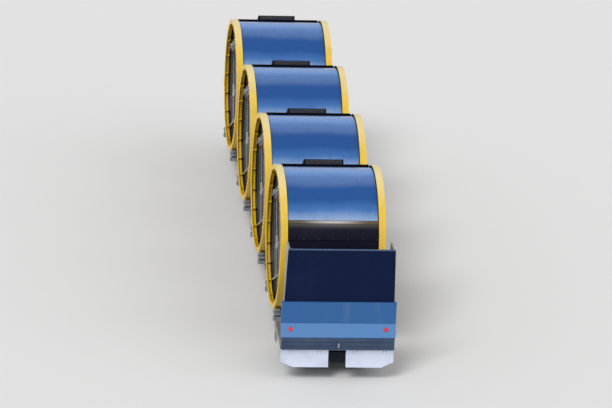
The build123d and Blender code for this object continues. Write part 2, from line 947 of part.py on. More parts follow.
def ploughs():
    """The two curved clearing plates under the bumper, on their brackets."""
    top_y = bumper_front + plough_setback
    tip_y = top_y - plough_reach
    middle = ((top_y + tip_y) / 2 + plough_curve, (plough_bottom + bumper_bottom) / 2)
    face_arc = ThreePointArc((tip_y, plough_bottom), middle, (top_y, bumper_bottom))
    back_arc = Pos(plough_thickness, 0) * face_arc
    section = make_face(
        [face_arc, back_arc, Line(face_arc @ 0, back_arc @ 0), Line(face_arc @ 1, back_arc @ 1)]
    )
    outline = make_face(
        Polyline(
            (plough_inner, plough_bottom),
            (plough_outer - plough_outer_run, plough_bottom),
            (plough_outer, plough_bottom + plough_outer_rise),
            (plough_outer, bumper_bottom),
            (plough_inner, bumper_bottom),
            close=True,
        )
    )
    plate = slab(section, plough_inner, plough_outer) & facing_front(outline, tip_y, top_y + plough_curve * 4)
    foot = make_face(
        Polyline(
            (top_y + plough_thickness / 2, bumper_bottom),
            (middle[0] + plough_thickness / 2, bumper_bottom - plough_bracket_rise),
            (top_y + plough_bracket_run, bumper_bottom),
            close=True,
        )
    )
    for share in plough_bracket_places:
        x = plough_inner + share * (plough_outer - plough_inner)
        plate += slab(foot, x, x + plough_bracket_thickness)
    return [plate, mirrored(plate)]


def eye_plate(root_y, tip_y, z, radius, hole_radius, x_from, x_to):
    """A lug with a rounded end and a hole across the car."""
    direction = 1 if tip_y > root_y else -1
    eye_y = tip_y - direction * radius
    face = Pos((root_y + eye_y) / 2, z) * Rectangle(abs(eye_y - root_y), 2 * radius)
    face += Pos(eye_y, z) * Circle(radius)
    face -= Pos(eye_y, z) * Circle(hole_radius)
    return slab(face, x_from, x_to)


def tow_eye():
    """The single lug at the middle of the bumper."""
    half = lug_thickness / 2
    return [
        eye_plate(
            bumper_front,
            bumper_front - tow_eye_length,
            tow_eye_z,
            tow_eye_radius,
            tow_hole_radius,
            -half,
            half,
        )
    ]


def rope_drawbar():
    """The clevis that the haul rope's socket is pinned to."""
    ear = eye_plate(
        frame_rear,
        frame_rear + rope_ear_length,
        rope_ear_z,
        rope_ear_radius,
        rope_pin_radius,
        clevis_gap / 2,
        clevis_gap / 2 + lug_thickness,
    )
    half = clevis_gap / 2
    tie = block(
        -half,
        half,
        frame_rear,
        frame_rear + clevis_root,
        rope_ear_z - rope_ear_radius,
        rope_ear_z + rope_ear_radius,
    )
    return [ear + mirrored(ear) + tie]


def rail_brakes():
    """Caliper brakes that grip the rail head, hung under the side beams."""
    solids = []
    jaw_half = brake_jaw["half_length"]
    arm_half = brake_arm["half_length"]
    foot_half = (beam_width - 2 * beam_web) / 2
    for y in brake_places:
        for side in (-1, 1):
            x = side * wheel_centre
            half = brake_body["half_width"]
            length = brake_body["half_length"]
            body = block(x - half, x + half, y - length, y + length, brake_body["bottom"], brake_body["top"])
            arm_x = sorted((x + side * half, side * (beam_centre + foot_half)))
            body += block(*arm_x, y - arm_half, y + arm_half, brake_arm["bottom"], brake_body["top"])
            foot_x = sorted((side * (beam_centre - foot_half), side * (beam_centre + foot_half)))
            body += block(*foot_x, y - arm_half, y + arm_half, brake_body["top"], beam_bottom)
            reach = brake_spring["half_length"]
            middle_z = (brake_body["bottom"] + brake_body["top"]) / 2
            for end in (-1, 1):
                spring_y = y + end * brake_spring["spacing"] / 2
                body += rod_along_x(brake_spring["radius"], x - reach, x + reach, spring_y, middle_z)
            solids.append(body)
            for jaw in (-1, 1):
                jaw_x = sorted((x + jaw * brake_jaw["inner"], x + jaw * brake_jaw["outer"]))
                solids.append(
                    block(*jaw_x, y - jaw_half, y + jaw_half, brake_jaw["bottom"], brake_body["bottom"])
                )
    return solids


def collect():
    """Every node's name and its solids."""
    nodes = {}
    cabin_parts = {
        "belly": belly_skin,
        "roof": roof_skin,
        "end_walls": end_walls,
        "glazing": glazing,
        "rims": rims,
        "interior": interior,
    }
    shapes = {name: make() for name, make in cabin_parts.items()}
    for side, side_name in ((-1, "left"), (1, "right")):
        for half, half_name in ((-1, "downhill"), (1, "uphill")):
            shapes[f"door_{side_name}_{half_name}"] = door_leaf(side, half)
    for number, drum_y in drum_positions():
        for name, solids in shapes.items():
            nodes[f"cabin_{number}_{name}"] = [lean(solid, drum_y) for solid in solids]
    nodes["side_beams"] = side_beams()
    nodes["cross_members"] = cross_members()
    nodes["roller_transoms"] = roller_transoms()
    nodes["cradle_rollers"] = cradle_rollers()
    nodes["level_drives"] = level_drives()
    for name, y in bogie_positions.items():
        nodes[f"bogie_{name}"] = [bogie(y)]
        for number, axle_y in enumerate(axle_places(y)):
            nodes[f"wheelset_{name}_{number + 1}"] = [wheelset(axle_y)]
    nodes["platform"] = platform()
    nodes["front_wall"] = front_wall()
    nodes["front_skirt"] = front_skirt()
    nodes["tail_lamps"] = tail_lamps()
    nodes["bumper_beam"] = bumper_beam()
    nodes["ploughs"] = ploughs()
    nodes["tow_eye"] = tow_eye()
    nodes["rope_drawbar"] = rope_drawbar()
    nodes["rail_brakes"] = rail_brakes()
    return nodes


os.makedirs("parts", exist_ok=True)
for node, solids in collect().items():
    pieces = [piece for solid in solids for piece in solid.solids()]
    shape = pieces[0] if len(pieces) == 1 else Compound(children=pieces)
    export_step(shape, f"parts/{node}.step")
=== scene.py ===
from math import cos, pi, radians, sin

import bmesh
import bpy
from mathutils import Matrix, Vector


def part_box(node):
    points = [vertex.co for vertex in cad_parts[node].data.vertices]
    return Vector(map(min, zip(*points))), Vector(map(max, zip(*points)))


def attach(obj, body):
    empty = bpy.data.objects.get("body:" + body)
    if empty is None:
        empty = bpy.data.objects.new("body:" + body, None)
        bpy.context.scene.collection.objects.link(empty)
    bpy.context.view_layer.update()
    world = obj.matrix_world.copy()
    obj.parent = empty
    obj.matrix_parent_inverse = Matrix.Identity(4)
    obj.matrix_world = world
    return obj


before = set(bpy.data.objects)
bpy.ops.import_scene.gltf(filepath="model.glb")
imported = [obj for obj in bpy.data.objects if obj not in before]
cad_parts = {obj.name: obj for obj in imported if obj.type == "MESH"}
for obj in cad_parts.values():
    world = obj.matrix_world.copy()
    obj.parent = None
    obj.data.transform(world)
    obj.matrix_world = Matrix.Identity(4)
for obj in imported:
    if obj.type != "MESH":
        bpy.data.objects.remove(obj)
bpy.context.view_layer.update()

# lengths are in metres and angles in degrees; the car's front is downhill, at -Y


def wayTo(azimuth, elevation):  # toward a place that is turned from straight downhill, and raised
    turn = radians(azimuth)
    rise = radians(elevation)
    return Vector((sin(turn) * cos(rise), -cos(turn) * cos(rise), sin(rise)))


# camera: downhill of the car, a little to its left, upright as the cabins' floors are level
view = {
    "azimuth": -7.0,
    "elevation": 19.6,
    "distance": 118.0,
    "lens": 268.0,
    "clipEnd": 1000,
    "target": (0.0, -1.1, 1.75),
    "lean": 25.0,
}


def makeCamera():
    back = wayTo(view["azimuth"], view["elevation"])
    lean = radians(view["lean"])
    right = Vector((0, sin(lean), cos(lean))).cross(back).normalized()
    upright = Matrix((right, back.cross(right), back)).transposed()
    camera = bpy.data.objects.new("camera", bpy.data.cameras.new("camera"))
    camera.data.lens = view["lens"]
    camera.data.clip_end = view["clipEnd"]
    camera.location = Vector(view["target"]) + back * view["distance"]
    camera.rotation_mode = "QUATERNION"
    camera.rotation_quaternion = upright.to_quaternion()
    bpy.context.scene.collection.objects.link(camera)
    bpy.context.scene.camera = camera


makeCamera()
bpy.context.scene.view_settings.view_transform = "Standard"
print("camera placed")


def hue(red, green, blue):  # a colour as the eye reads it, 0 to 255, for a shader socket
    linear = []
    for part in (red / 255, green / 255, blue / 255):
        linear.append(part / 12.92 if part <= 0.04045 else ((part + 0.055) / 1.055) ** 2.4)
    return (*linear, 1.0)


class Wire:  # a node's output that takes part in sums
    def __init__(self, paint, socket):
        self.paint = paint
        self.socket = socket

    def maths(self, operation, first, second=0.0):
        return self.paint.node("ShaderNodeMath", {"operation": operation}, {0: first, 1: second})

    def __add__(self, other):
        return self.maths("ADD", self, other)

    def __sub__(self, other):
        return self.maths("SUBTRACT", self, other)

    def __rsub__(self, other):
        return self.maths("SUBTRACT", other, self)

    def __mul__(self, other):
        return self.maths("MULTIPLY", self, other)

    def __truediv__(self, other):
        return self.maths("DIVIDE", self, other)

    def __gt__(self, other):
        return self.maths("GREATER_THAN", self, other)

    def __lt__(self, other):
        return self.maths("LESS_THAN", self, other)

    def __abs__(self):
        return self.maths("ABSOLUTE", self)

    __radd__ = __add__
    __rmul__ = __mul__


class Paint:
    def __init__(self, name, **fixed):  # fixed: what is the same all over the surface
        self.material = bpy.data.materials.new(name)
        self.material.use_nodes = True
        self.tree = self.material.node_tree
        self.shader = self.tree.nodes["Principled BSDF"]
        self.place = self.node("ShaderNodeTexCoord", out="Object")
        self.feed(**fixed)

    def node(self, kind, settings=None, sockets=None, out=0):
        made = self.tree.nodes.new(kind)
        for key, value in (settings or {}).items():
            if key == "stops":
                for extra in range(len(value) - 2):
                    made.color_ramp.elements.new(0.5)
                for element, (spot, colour) in zip(made.color_ramp.elements, value):
                    element.position = spot
                    element.color = colour
            else:
                setattr(made, key, value)
        for key, value in (sockets or {}).items():
            self.join(made.inputs[key], value)
        return Wire(self, made.outputs[out])

    def join(self, socket, value):
        if isinstance(value, Wire):
            self.tree.links.new(value.socket, socket)
        else:
            socket.default_value = value

    def feed(self, **sockets):
        for key, value in sockets.items():
            self.join(self.shader.inputs[key.replace("_", " ")], value)
        return self

    def mix(self, share, first, second):
        sockets = {0: share, 6: first, 7: second}
        return self.node("ShaderNodeMix", {"data_type": "RGBA"}, sockets, out=2)

    def noise(self, scale, detail, stretch=(1, 1, 1)):
        spot = self.node("ShaderNodeMapping", None, {"Vector": self.place, "Scale": stretch})
        sockets = {"Vector": spot, "Scale": scale, "Detail": detail}
        return self.node("ShaderNodeTexNoise", None, sockets)

    def ramp(self, share, stops):
        return self.node("ShaderNodeValToRGB", {"stops": stops}, {0: share})

    def steps(self, value, low, high):  # 0 below low, 1 above high, smooth between
        return self.node(
            "ShaderNodeMapRange",
            {"interpolation_type": "SMOOTHSTEP"},
            {"Value": value, "From Min": low, "From Max": high},
        )

    def axes(self):
        split = self.tree.nodes.new("ShaderNodeSeparateXYZ")
        self.join(split.inputs[0], self.place)
        return [Wire(self, out) for out in split.outputs]

    def distance(self, first, second):
        return first.maths("SQRT", first * first + second * second)

    def bump(self, height, strength, distance):
        sockets = {"Height": height, "Strength": strength, "Distance": distance}
        return self.feed(Normal=self.node("ShaderNodeBump", None, sockets))


# the four drums, in the frame's own axes
drum = {
    "count": 4,
    "first": 6.69,  # where the uphill drum's axis is along the car
    "pitch": 4.0,
    "height": 2.4,
    "lean": 25,
    "skin": 1.74,  # radii
    "skinInner": 1.7,
    "unit": 1.98,
    "half": 1.13,  # from the car's middle to the skins' ends
    "rimHalf": 1.3,
    "rearLow": 8,  # round the axis, from level uphill over the top
    "rearTop": 60,
    "unitStart": 62,
    "unitEnd": 83,
    "glassTop": 96,
    "glassLow": 172,
}


def drumAxes(paint):  # each point's uphill and upward distance from its own drum's axis
    x, y, z = paint.axes()
    near = paint.node(
        "ShaderNodeMath",
        {"operation": "WRAP"},
        {0: y - drum["first"], 1: drum["pitch"] / 2, 2: -drum["pitch"] / 2},
    )
    up = z - drum["height"]
    lean = radians(drum["lean"])
    along = near * cos(lean) - up * sin(lean)
    rise = near * sin(lean) + up * cos(lean)
    return x, along, rise


def drumAngle(along, rise):
    return along.maths("ARCTAN2", rise, along) * (180 / pi)


def grimed(paint, colour, dirt, scale, amount):
    patches = paint.steps(paint.noise(scale, 6.0), 0.45, 0.75)
    return paint.mix(patches * amount, colour, dirt)


def plainPaint(name, colour, dirt, roughness, scale, amount, **fixed):
    paint = Paint(name, **fixed)
    paint.feed(Base_Color=grimed(paint, hue(*colour), hue(*dirt), scale, amount))
    paint.feed(Roughness=roughness + (paint.noise(scale * 4, 4.0) - 0.5) * 0.25)
    return paint.bump(paint.noise(60.0, 2.0), 0.05, 0.002)


# curved glass: painted reflection colours from its top edge down, 0 to 1, a pale sky reflection at
# the top and foot, deepest blue between
glass = {
    "stops": [
        (0.0, hue(136, 166, 220)),
        (0.3, hue(108, 150, 214)),
        (0.4, hue(84, 124, 184)),
        (0.52, hue(74, 108, 166)),
        (0.6, hue(30, 80, 148)),
        (0.76, hue(30, 82, 148)),
        (0.88, hue(68, 116, 182)),
        (1.0, hue(150, 178, 216)),
    ],
    "streak": hue(26, 64, 130),
    "cloud": 0.12,
}


def curvedGlass():  # painted reflection: pale as the sky along its top and its foot, deepest blue between
    paint = Paint("curvedGlass", IOR=1.35, Coat_Roughness=0.05, Coat_Weight=0.12)
    x, along, rise = drumAxes(paint)
    angle = drumAngle(along, rise)
    down = (angle - drum["glassTop"]) / (drum["glassLow"] - drum["glassTop"])
    up = (drum["rearTop"] - angle) / (drum["rearTop"] - drum["rearLow"])
    share = down.maths("MAXIMUM", down, up)
    # noise that mottles the painted reflection away from the top edge
    cloud = (paint.noise(0.9, 5.0, (1, 1, 0.5)) - 0.5) * glass["cloud"]
    # the ramp paints the sky's reflection into the glass's colour by angle round the drum
    paintedReflection = paint.ramp(share + cloud * paint.steps(share, 0.1, 0.4), glass["stops"])
    streaks = paint.steps(paint.noise(7.0, 4.0, (1, 1, 0.15)), 0.5, 0.75) * 0.16
    paint.feed(Base_Color=paint.mix(streaks, paintedReflection, glass["streak"]))
    paint.feed(Roughness=0.09 + paint.noise(3.0, 4.0) * 0.08)
    return paint.bump(paint.noise(2.2, 2.0), 0.03, 0.02)


def addPanes(paint, solid):  # see-through dark panes wherever solid is 0
    pane = paint.tree.nodes.new("ShaderNodeBsdfPrincipled")
    smears = paint.noise(3.0, 4.0)
    paint.join(pane.inputs["Base Color"], paint.mix(smears, hue(16, 26, 32), hue(38, 54, 62)))
    paint.join(pane.inputs["Roughness"], 0.04 + smears * 0.06)
    paint.join(pane.inputs["Alpha"], 0.5 + smears * 0.14)
    blend = paint.tree.nodes.new("ShaderNodeMixShader")
    paint.join(blend.inputs[0], solid)
    paint.tree.links.new(pane.outputs[0], blend.inputs[1])
    paint.tree.links.new(paint.shader.outputs[0], blend.inputs[2])
    paint.tree.links.new(blend.outputs[0], paint.tree.nodes["Material Output"].inputs["Surface"])
    return paint


def drumPane():  # the node holds the curved glass and the panes in the end walls
    paint = curvedGlass()
    x, along, rise = drumAxes(paint)
    radius = paint.distance(along, rise)
    return addPanes(paint, paint.steps(radius, drum["skinInner"] - 0.03, drum["skinInner"] - 0.01))


# door leaves: one solid holds panel, pane and handle, which the paint tells apart by place
leaf = {
    "middle": 1.174,  # of the pane's thickness
    "face": 1.194,
    "handle": 1.1955,
    "centre": 0.3265,
    "windowMiddle": 0.42,
    "window": (0.467, 1.14),
    "paneHalf": (0.0095, 0.2325, 0.5695),  # just inside the pane's own faces
}


def doorPaint():
    paint = Paint("doorBlack", Coat_Weight=0.15)
    x, along, rise = drumAxes(paint)
    thick, wide, high = leaf["paneHalf"]
    inDepth = abs(abs(x) - leaf["middle"]) < thick
    inWidth = abs(abs(along) - leaf["centre"]) < wide
    inHeight = abs(rise - leaf["windowMiddle"]) < high
    handle = abs(x) > leaf["handle"]
    panel = grimed(paint, hue(34, 37, 43), hue(86, 86, 88), 1.8, 0.25)
    streaks = paint.steps(paint.noise(5.0, 4.0, (1, 1, 0.2)), 0.55, 0.8) * 0.3
    panel = paint.mix(streaks, panel, hue(74, 78, 86))
    paint.feed(Base_Color=paint.mix(handle, panel, hue(206, 208, 206)))
    paint.feed(Roughness=0.34 + paint.noise(8.0, 3.0) * 0.12, Metallic=handle * 0.8)
    paint.bump(paint.noise(50.0, 2.0), 0.04, 0.002)
    return addPanes(paint, 1 - inDepth * inWidth * inHeight)


# end walls: how far out their door rails and window frames begin, and the seams between panels
endWall = {"rail": 1.1425, "frame": 1.1305, "panel": 0.21, "seam": (0.004, 0.008)}


def endWallPaint():  # black wall with brushed rails above and below the doors
    paint = Paint("endWall")
    x, along, rise = drumAxes(paint)
    rail = abs(x) > endWall["rail"]
    frames = abs(x) > endWall["frame"]
    wall = grimed(paint, hue(28, 31, 36), hue(80, 80, 80), 1.8, 0.3)
    seams = abs(along.maths("PINGPONG", along, endWall["panel"]) - endWall["panel"])
    line = 1 - paint.steps(seams, *endWall["seam"])
    wall = paint.mix(line * 0.6, wall, hue(10, 11, 13))
    wall = paint.mix(frames, wall, hue(56, 60, 66))
    paint.feed(Base_Color=paint.mix(rail, wall, hue(150, 154, 158)))
    paint.feed(Roughness=0.5 - rail * 0.15, Metallic=rail * 0.8)
    return paint.bump(paint.noise(40.0, 3.0) - line * 0.5, 0.1, 0.003)


# cabins' insides: the floor's top, and the poles above it
inside = {"floor": (-0.952, -0.949), "pole": 0.7, "poleRadius": 0.0195, "poleFoot": (-0.94, -0.93)}


def cabinInside():
    paint = Paint("cabinGrey")
    x, along, rise = drumAxes(paint)
    floorShare = 1 - paint.steps(rise, *inside["floor"])
    pole = abs(abs(along) - inside["pole"]) < inside["poleRadius"]
    pole = pole * paint.steps(rise, *inside["poleFoot"])
    body = grimed(paint, hue(140, 144, 150), hue(98, 98, 98), 2.0, 0.3)
    speck = paint.steps(paint.noise(90.0, 2.0), 0.5, 0.6) * 0.4
    rubber = paint.mix(speck, hue(48, 50, 54), hue(96, 98, 100))
    colour = paint.mix(floorShare, body, rubber)
    paint.feed(Base_Color=paint.mix(pole, colour, hue(224, 190, 60)))
    paint.feed(Roughness=0.55 - pole * 0.25 + paint.noise(6.0, 3.0) * 0.1)
    return paint.bump(speck, 0.1, 0.002)


# the tan sill under each downhill glass, proud of the skin, its tan partly painted reflection of
# warm ground, and a painted reflection that fades out below it
sill = {"radius": (1.7405, 1.7425), "start": (171.5, 171.9), "reflectionFade": (173.2, 179.4)}


def bellyPaint():
    paint = Paint("drumBlack", IOR=1.25)
    x, along, rise = drumAxes(paint)
    angle = drumAngle(along, rise)
    below = paint.steps(angle, *sill["start"])
    strip = paint.steps(paint.distance(along, rise), *sill["radius"]) * below
    # painted reflection on the glossy belly, fading out below the sill
    reflectionFade = below * (1 - paint.steps(angle, *sill["reflectionFade"]))
    # painted highlight: brighter towards the middle of the drum's width
    paintedHighlight = paint.steps(1 - abs(x) / drum["half"], 0.2, 0.95)
    colour = grimed(paint, hue(12, 15, 34), hue(46, 50, 64), 1.5, 0.3)
    colour = paint.mix(reflectionFade * 0.9, colour, paint.mix(paintedHighlight, hue(88, 86, 76), hue(118, 112, 116)))
    # sill trim's tan, partly painted reflection of warm ground, with a painted highlight in the
    # middle
    tan = paint.mix(paintedHighlight, hue(104, 90, 72), hue(196, 188, 184))
    paint.feed(Base_Color=paint.mix(strip, colour, tan))
    paint.feed(Roughness=0.5 - strip * 0.15, Metallic=strip * 0.2)
    return paint.bump(paint.noise(60.0, 2.0), 0.05, 0.002)


unitFoot = (1.7408, 1.7425)  # radii between which the blue skin turns into the black unit


def roofPaint():
    paint = Paint("roofBlue", IOR=1.15)
    x, along, rise = drumAxes(paint)
    unit = paint.steps(paint.distance(along, rise), *unitFoot)
    body = grimed(paint, hue(120, 146, 192), hue(100, 112, 140), 1.2, 0.35)
    housing = grimed(paint, hue(8, 11, 28), hue(28, 32, 46), 2.0, 0.3)
    paint.feed(Base_Color=paint.mix(unit, body, housing))
    paint.feed(Roughness=0.25 + unit * 0.3 + paint.noise(6.0, 3.0) * 0.08)
    return paint.bump(paint.noise(45.0, 2.0), 0.05, 0.002)


# rims: their rolling face, the worn track in its middle, a painted highlight on its top, the black
# inner flanges
rimLook = {
    "face": (1.797, 1.7995),
    "track": 1.215,
    "trackEdge": (0.05, 0.075),
    "topHighlightRise": (0.4, 1.65),
    "blackTo": 1.19,
}


def rimPaint():
    paint = Paint("rimYellow", Coat_Roughness=0.2, Coat_Weight=0.2)
    x, along, rise = drumAxes(paint)
    outer = paint.steps(paint.distance(along, rise), *rimLook["face"])
    offTrack = paint.steps(abs(abs(x) - rimLook["track"]), *rimLook["trackEdge"])
    worn = outer * (1 - offTrack) * (0.12 + paint.noise(1.4, 4.0) * 0.3)
    # painted highlight: the rolling face paler towards the top
    paintedTopHighlight = paint.steps(rise, *rimLook["topHighlightRise"]) * 0.55 * outer
    root = (1 - outer) * (abs(x) < rimLook["blackTo"])
    colour = grimed(paint, hue(246, 200, 10), hue(176, 134, 20), 2.1, 0.3)
    colour = paint.mix(worn, colour, hue(196, 178, 110))
    colour = paint.mix(paintedTopHighlight, colour, hue(240, 236, 200))
    paint.feed(Base_Color=paint.mix(root, colour, hue(20, 22, 30)))
    paint.feed(Roughness=0.36 + worn * 0.3)
    return paint.bump(paint.noise(40.0, 3.0), 0.05, 0.003)


def slatWood():
    paint = Paint("slatWood", Coat_Weight=0.2)
    rings = paint.noise(7.0, 6.0, (0.12, 1, 1))
    paint.feed(Base_Color=paint.ramp(rings, [(0.3, hue(110, 72, 40)), (0.7, hue(182, 136, 88))]))
    paint.feed(Roughness=0.4 + rings * 0.2)
    return paint.bump(rings, 0.1, 0.002)


def zinc(paint):  # spangled and weathered
    spangle = paint.node(
        "ShaderNodeTexVoronoi", None, {"Vector": paint.place, "Scale": 14.0}, out="Color"
    )
    grey = paint.node("ShaderNodeRGBToBW", None, {0: spangle})
    paint.feed(Roughness=0.38 + grey * 0.2)
    paint.bump(paint.noise(30.0, 3.0), 0.08, 0.003)
    patches = grey * 0.6 + paint.noise(1.1, 5.0) * 0.4
    return paint.mix(patches, hue(122, 128, 134), hue(176, 182, 188))


def framePaint():
    paint = Paint("frameGrey", Metallic=0.55)
    return paint.feed(Base_Color=zinc(paint))


frontHeadstock = -8.39  # the headstock lies downhill of this


def crossPaint():  # the front headstock's face is painted near-black: painted shade under the bumper, with dirt patches
    paint = Paint("crossGrey", Metallic=0.55)
    x, y, z = paint.axes()
    # painted shade on the front headstock, with dirt patches
    paintedShade = grimed(paint, hue(8, 20, 42), hue(46, 52, 62), 2.5, 0.3)
    return paint.feed(Base_Color=paint.mix(y < frontHeadstock, zinc(paint), paintedShade))


lozengeTurns = 90  # the checker plate's waves, in radians a metre


def checkerDeck():
    paint = Paint("deckPlate", Metallic=0.7)
    x, y, z = paint.axes()
    first = x.maths("SINE", (x + y) * lozengeTurns)
    second = x.maths("SINE", (x - y) * lozengeTurns)
    lozenge = first.maths("MAXIMUM", paint.steps(first, 0.7, 0.95), paint.steps(second, 0.7, 0.95))
    paint.feed(Base_Color=grimed(paint, hue(172, 174, 176), hue(110, 106, 100), 1.6, 0.5))
    paint.feed(Roughness=0.35 + paint.noise(6.0, 4.0) * 0.2)
    return paint.bump(lozenge, 0.5, 0.004)


# wheelsets: treads, hub caps and the bolts round the axle boxes
running = {
    "axleZ": 0.308,
    "tread": (0.272, 0.276),
    "hubFace": 0.84,
    "cap": (0.078, 28, 0.07),
    "capProud": 0.014,
    "capBoltRadius": 0.056,
    "capBolt": (0.007, 0.007),
    "boxFace": 0.605,
    "boxBoltRadius": 0.09,
    "boxBolt": (0.01, 0.01),
    "bogies": {"rear": 4.69, "front": -7.4},
    "wheelbaseHalf": 0.6,
}


def wheelPaint(name, axleY):
    paint = Paint(name, Metallic=0.8)
    x, y, z = paint.axes()
    tread = paint.steps(paint.distance(y - axleY, z - running["axleZ"]), *running["tread"])
    sides = grimed(paint, hue(84, 70, 60), hue(52, 44, 40), 5.0, 0.7)
    paint.feed(Base_Color=paint.mix(tread, sides, hue(176, 178, 182)))
    paint.feed(Roughness=0.62 - tread * 0.4)
    return paint.bump(paint.noise(34.0, 5.0), 0.2, 0.004)


# the front end: wall, skirt with its slope, and bumper
front = {
    "wall": -8.79,
    "top": 3.33,
    "low": 1.985,
    "topHalf": 1.31,
    "lowHalf": 1.35,
    "slope": 1.425,  # where the skirt's slope begins
    "slopeReach": 0.16,
    "skirtLow": 1.1153,
    "bumper": -8.95,
}


def skirtPaint():
    paint = Paint("bandBlue", Coat_Roughness=0.1, Coat_Weight=0.1)
    x, y, z = paint.axes()
    slope = 1 - paint.steps(z, front["slope"] - 0.01, front["slope"] + 0.01)
    # the sloped lower face is painted lighter blue: painted sky reflection on the upward-facing
    # slope
    colour = paint.mix(slope, hue(28, 94, 158), hue(80, 130, 188))
    streaks = paint.steps(paint.noise(2.4, 5.0, (1, 1, 0.25)), 0.5, 0.8) * 0.3
    paint.feed(Base_Color=paint.mix(streaks, colour, hue(118, 130, 146)))
    paint.feed(Roughness=0.3 + paint.noise(4.0, 4.0) * 0.12)
    return paint.bump(paint.noise(50.0, 2.0), 0.03, 0.002)


# colour, grime, roughness, the grime's scale and share, and what else is the same all over
plainFinishes = {
    "machinedSteel": ((168, 170, 174), (90, 84, 78), 0.3, 6.0, 0.4, {"Metallic": 0.9}),
    "driveGrey": ((92, 100, 108), (60, 56, 52), 0.5, 3.0, 0.4, {}),
    "navyPaint": ((8, 24, 60), (22, 40, 78), 0.3, 1.0, 0.3, {"IOR": 1.2}),
    "lampRed": ((214, 70, 84), (160, 40, 50), 0.2, 8.0, 0.3, {}),
    "bumperBlack": ((44, 66, 98), (76, 92, 112), 0.5, 2.5, 0.35, {}),
    "boltSteel": ((150, 154, 158), (92, 88, 84), 0.35, 20.0, 0.4, {"Metallic": 0.8}),
    "rubber": ((18, 19, 21), (48, 48, 48), 0.75, 6.0, 0.35, {}),
    "coverGrey": ((58, 62, 68), (96, 96, 94), 0.4, 2.5, 0.3, {}),
    "lampWhite": ((236, 236, 228), (200, 198, 188), 0.3, 4.0, 0.3, {}),
    "trimTeal": ((52, 82, 120), (44, 66, 94), 0.35, 3.0, 0.3, {}),
    "pushGreen": ((70, 168, 96), (44, 110, 66), 0.3, 9.0, 0.3, {}),
    # the ploughs' blue tint is painted blue sky light on the silver
    "ploughSilver": ((212, 220, 240), (158, 162, 172), 0.35, 2.2, 0.35, {}),
}
paints = {
    "drumBlack": bellyPaint(),
    "roofBlue": roofPaint(),
    "blueGlass": drumPane(),
    "endWall": endWallPaint(),
    "rimYellow": rimPaint(),
    "doorBlack": doorPaint(),
    "cabinGrey": cabinInside(),
    "frameGrey": framePaint(),
    "crossGrey": crossPaint(),
    "deckPlate": checkerDeck(),
    "bandBlue": skirtPaint(),
    "slatWood": slatWood(),
}
for paintName, (*settings, fixed) in plainFinishes.items():
    paints[paintName] = plainPaint(paintName, *settings, **fixed)
print("finishes made")


def coat(nodeName, paintName):
    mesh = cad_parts[nodeName].data
    mesh.materials.clear()
    mesh.materials.append(paints[paintName].material)


cabinCoats = {
    "belly": "drumBlack",
    "roof": "roofBlue",
    "end_walls": "endWall",
    "glazing": "blueGlass",
    "rims": "rimYellow",
    "interior": "cabinGrey",
    "door_left_downhill": "doorBlack",
    "door_left_uphill": "doorBlack",
    "door_right_downhill": "doorBlack",
    "door_right_uphill": "doorBlack",
}
chassisCoats = {
    "side_beams": "frameGrey",
    "cross_members": "crossGrey",
    "roller_transoms": "frameGrey",
    "cradle_rollers": "machinedSteel",
    "level_drives": "driveGrey",
    "platform": "deckPlate",
    "front_wall": "navyPaint",
    "front_skirt": "bandBlue",
    "tail_lamps": "lampRed",
    "bumper_beam": "bumperBlack",
    "ploughs": "ploughSilver",
    "tow_eye": "machinedSteel",
    "rope_drawbar": "frameGrey",
    "rail_brakes": "driveGrey",
    "bogie_front": "frameGrey",
    "bogie_rear": "frameGrey",
}
for number in range(1, drum["count"] + 1):
    for part, paintName in cabinCoats.items():
        coat(f"cabin_{number}_{part}", paintName)
for nodeName, paintName in chassisCoats.items():
    coat(nodeName, paintName)
axleYs = {}
for nodeName in [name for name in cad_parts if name.startswith("wheelset")]:
    low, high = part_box(nodeName)
    axleYs[nodeName] = (low.y + high.y) / 2
    paints[nodeName] = wheelPaint(nodeName, axleYs[nodeName])
    coat(nodeName, nodeName)
print("frame coated")


bedded = 0.002  # how deep trim sits in the solid that carries it
beddedThin = 0.001


# shapes that the pieces are put together from
def addBox(bm, xs, ys, zs, bevel):  # each pair gives two opposite faces, in either order
    pairs = (xs, ys, zs)
    verts = bmesh.ops.create_cube(bm, size=1)["verts"]
    bmesh.ops.scale(bm, vec=[abs(end - start) for start, end in pairs], verts=verts)
    bmesh.ops.translate(bm, vec=[(start + end) / 2 for start, end in pairs], verts=verts)
    edges = list({edge for vert in verts for edge in vert.link_edges})
    bmesh.ops.bevel(
        bm, geom=edges, offset=bevel, segments=2, profile=0.5, affect="EDGES", material=-1
    )


def addRod(bm, start, end, radius, sides, endRadius=None):  # sizes are stored in this order
    start, end = Vector(start), Vector(end)
    along = end - start
    turn = along.to_track_quat("Z", "Y").to_matrix().to_4x4()
    bmesh.ops.create_cone(
        bm,
        cap_ends=True,
        segments=sides,
        radius1=radius,
        radius2=radius if endRadius is None else endRadius,
        depth=along.length,
        matrix=Matrix.Translation((start + end) / 2) @ turn,
    )


def addBolt(bm, spot, normal, size):  # a washer and a hexagon head, size: its radius and height
    radius, height = size
    spot, normal = Vector(spot), Vector(normal).normalized()
    addRod(bm, spot - normal * beddedThin, spot + normal * height * 0.25, radius * 1.45, 12)
    addRod(bm, spot + normal * height * 0.2, spot + normal * height, radius, 6, radius * 0.93)


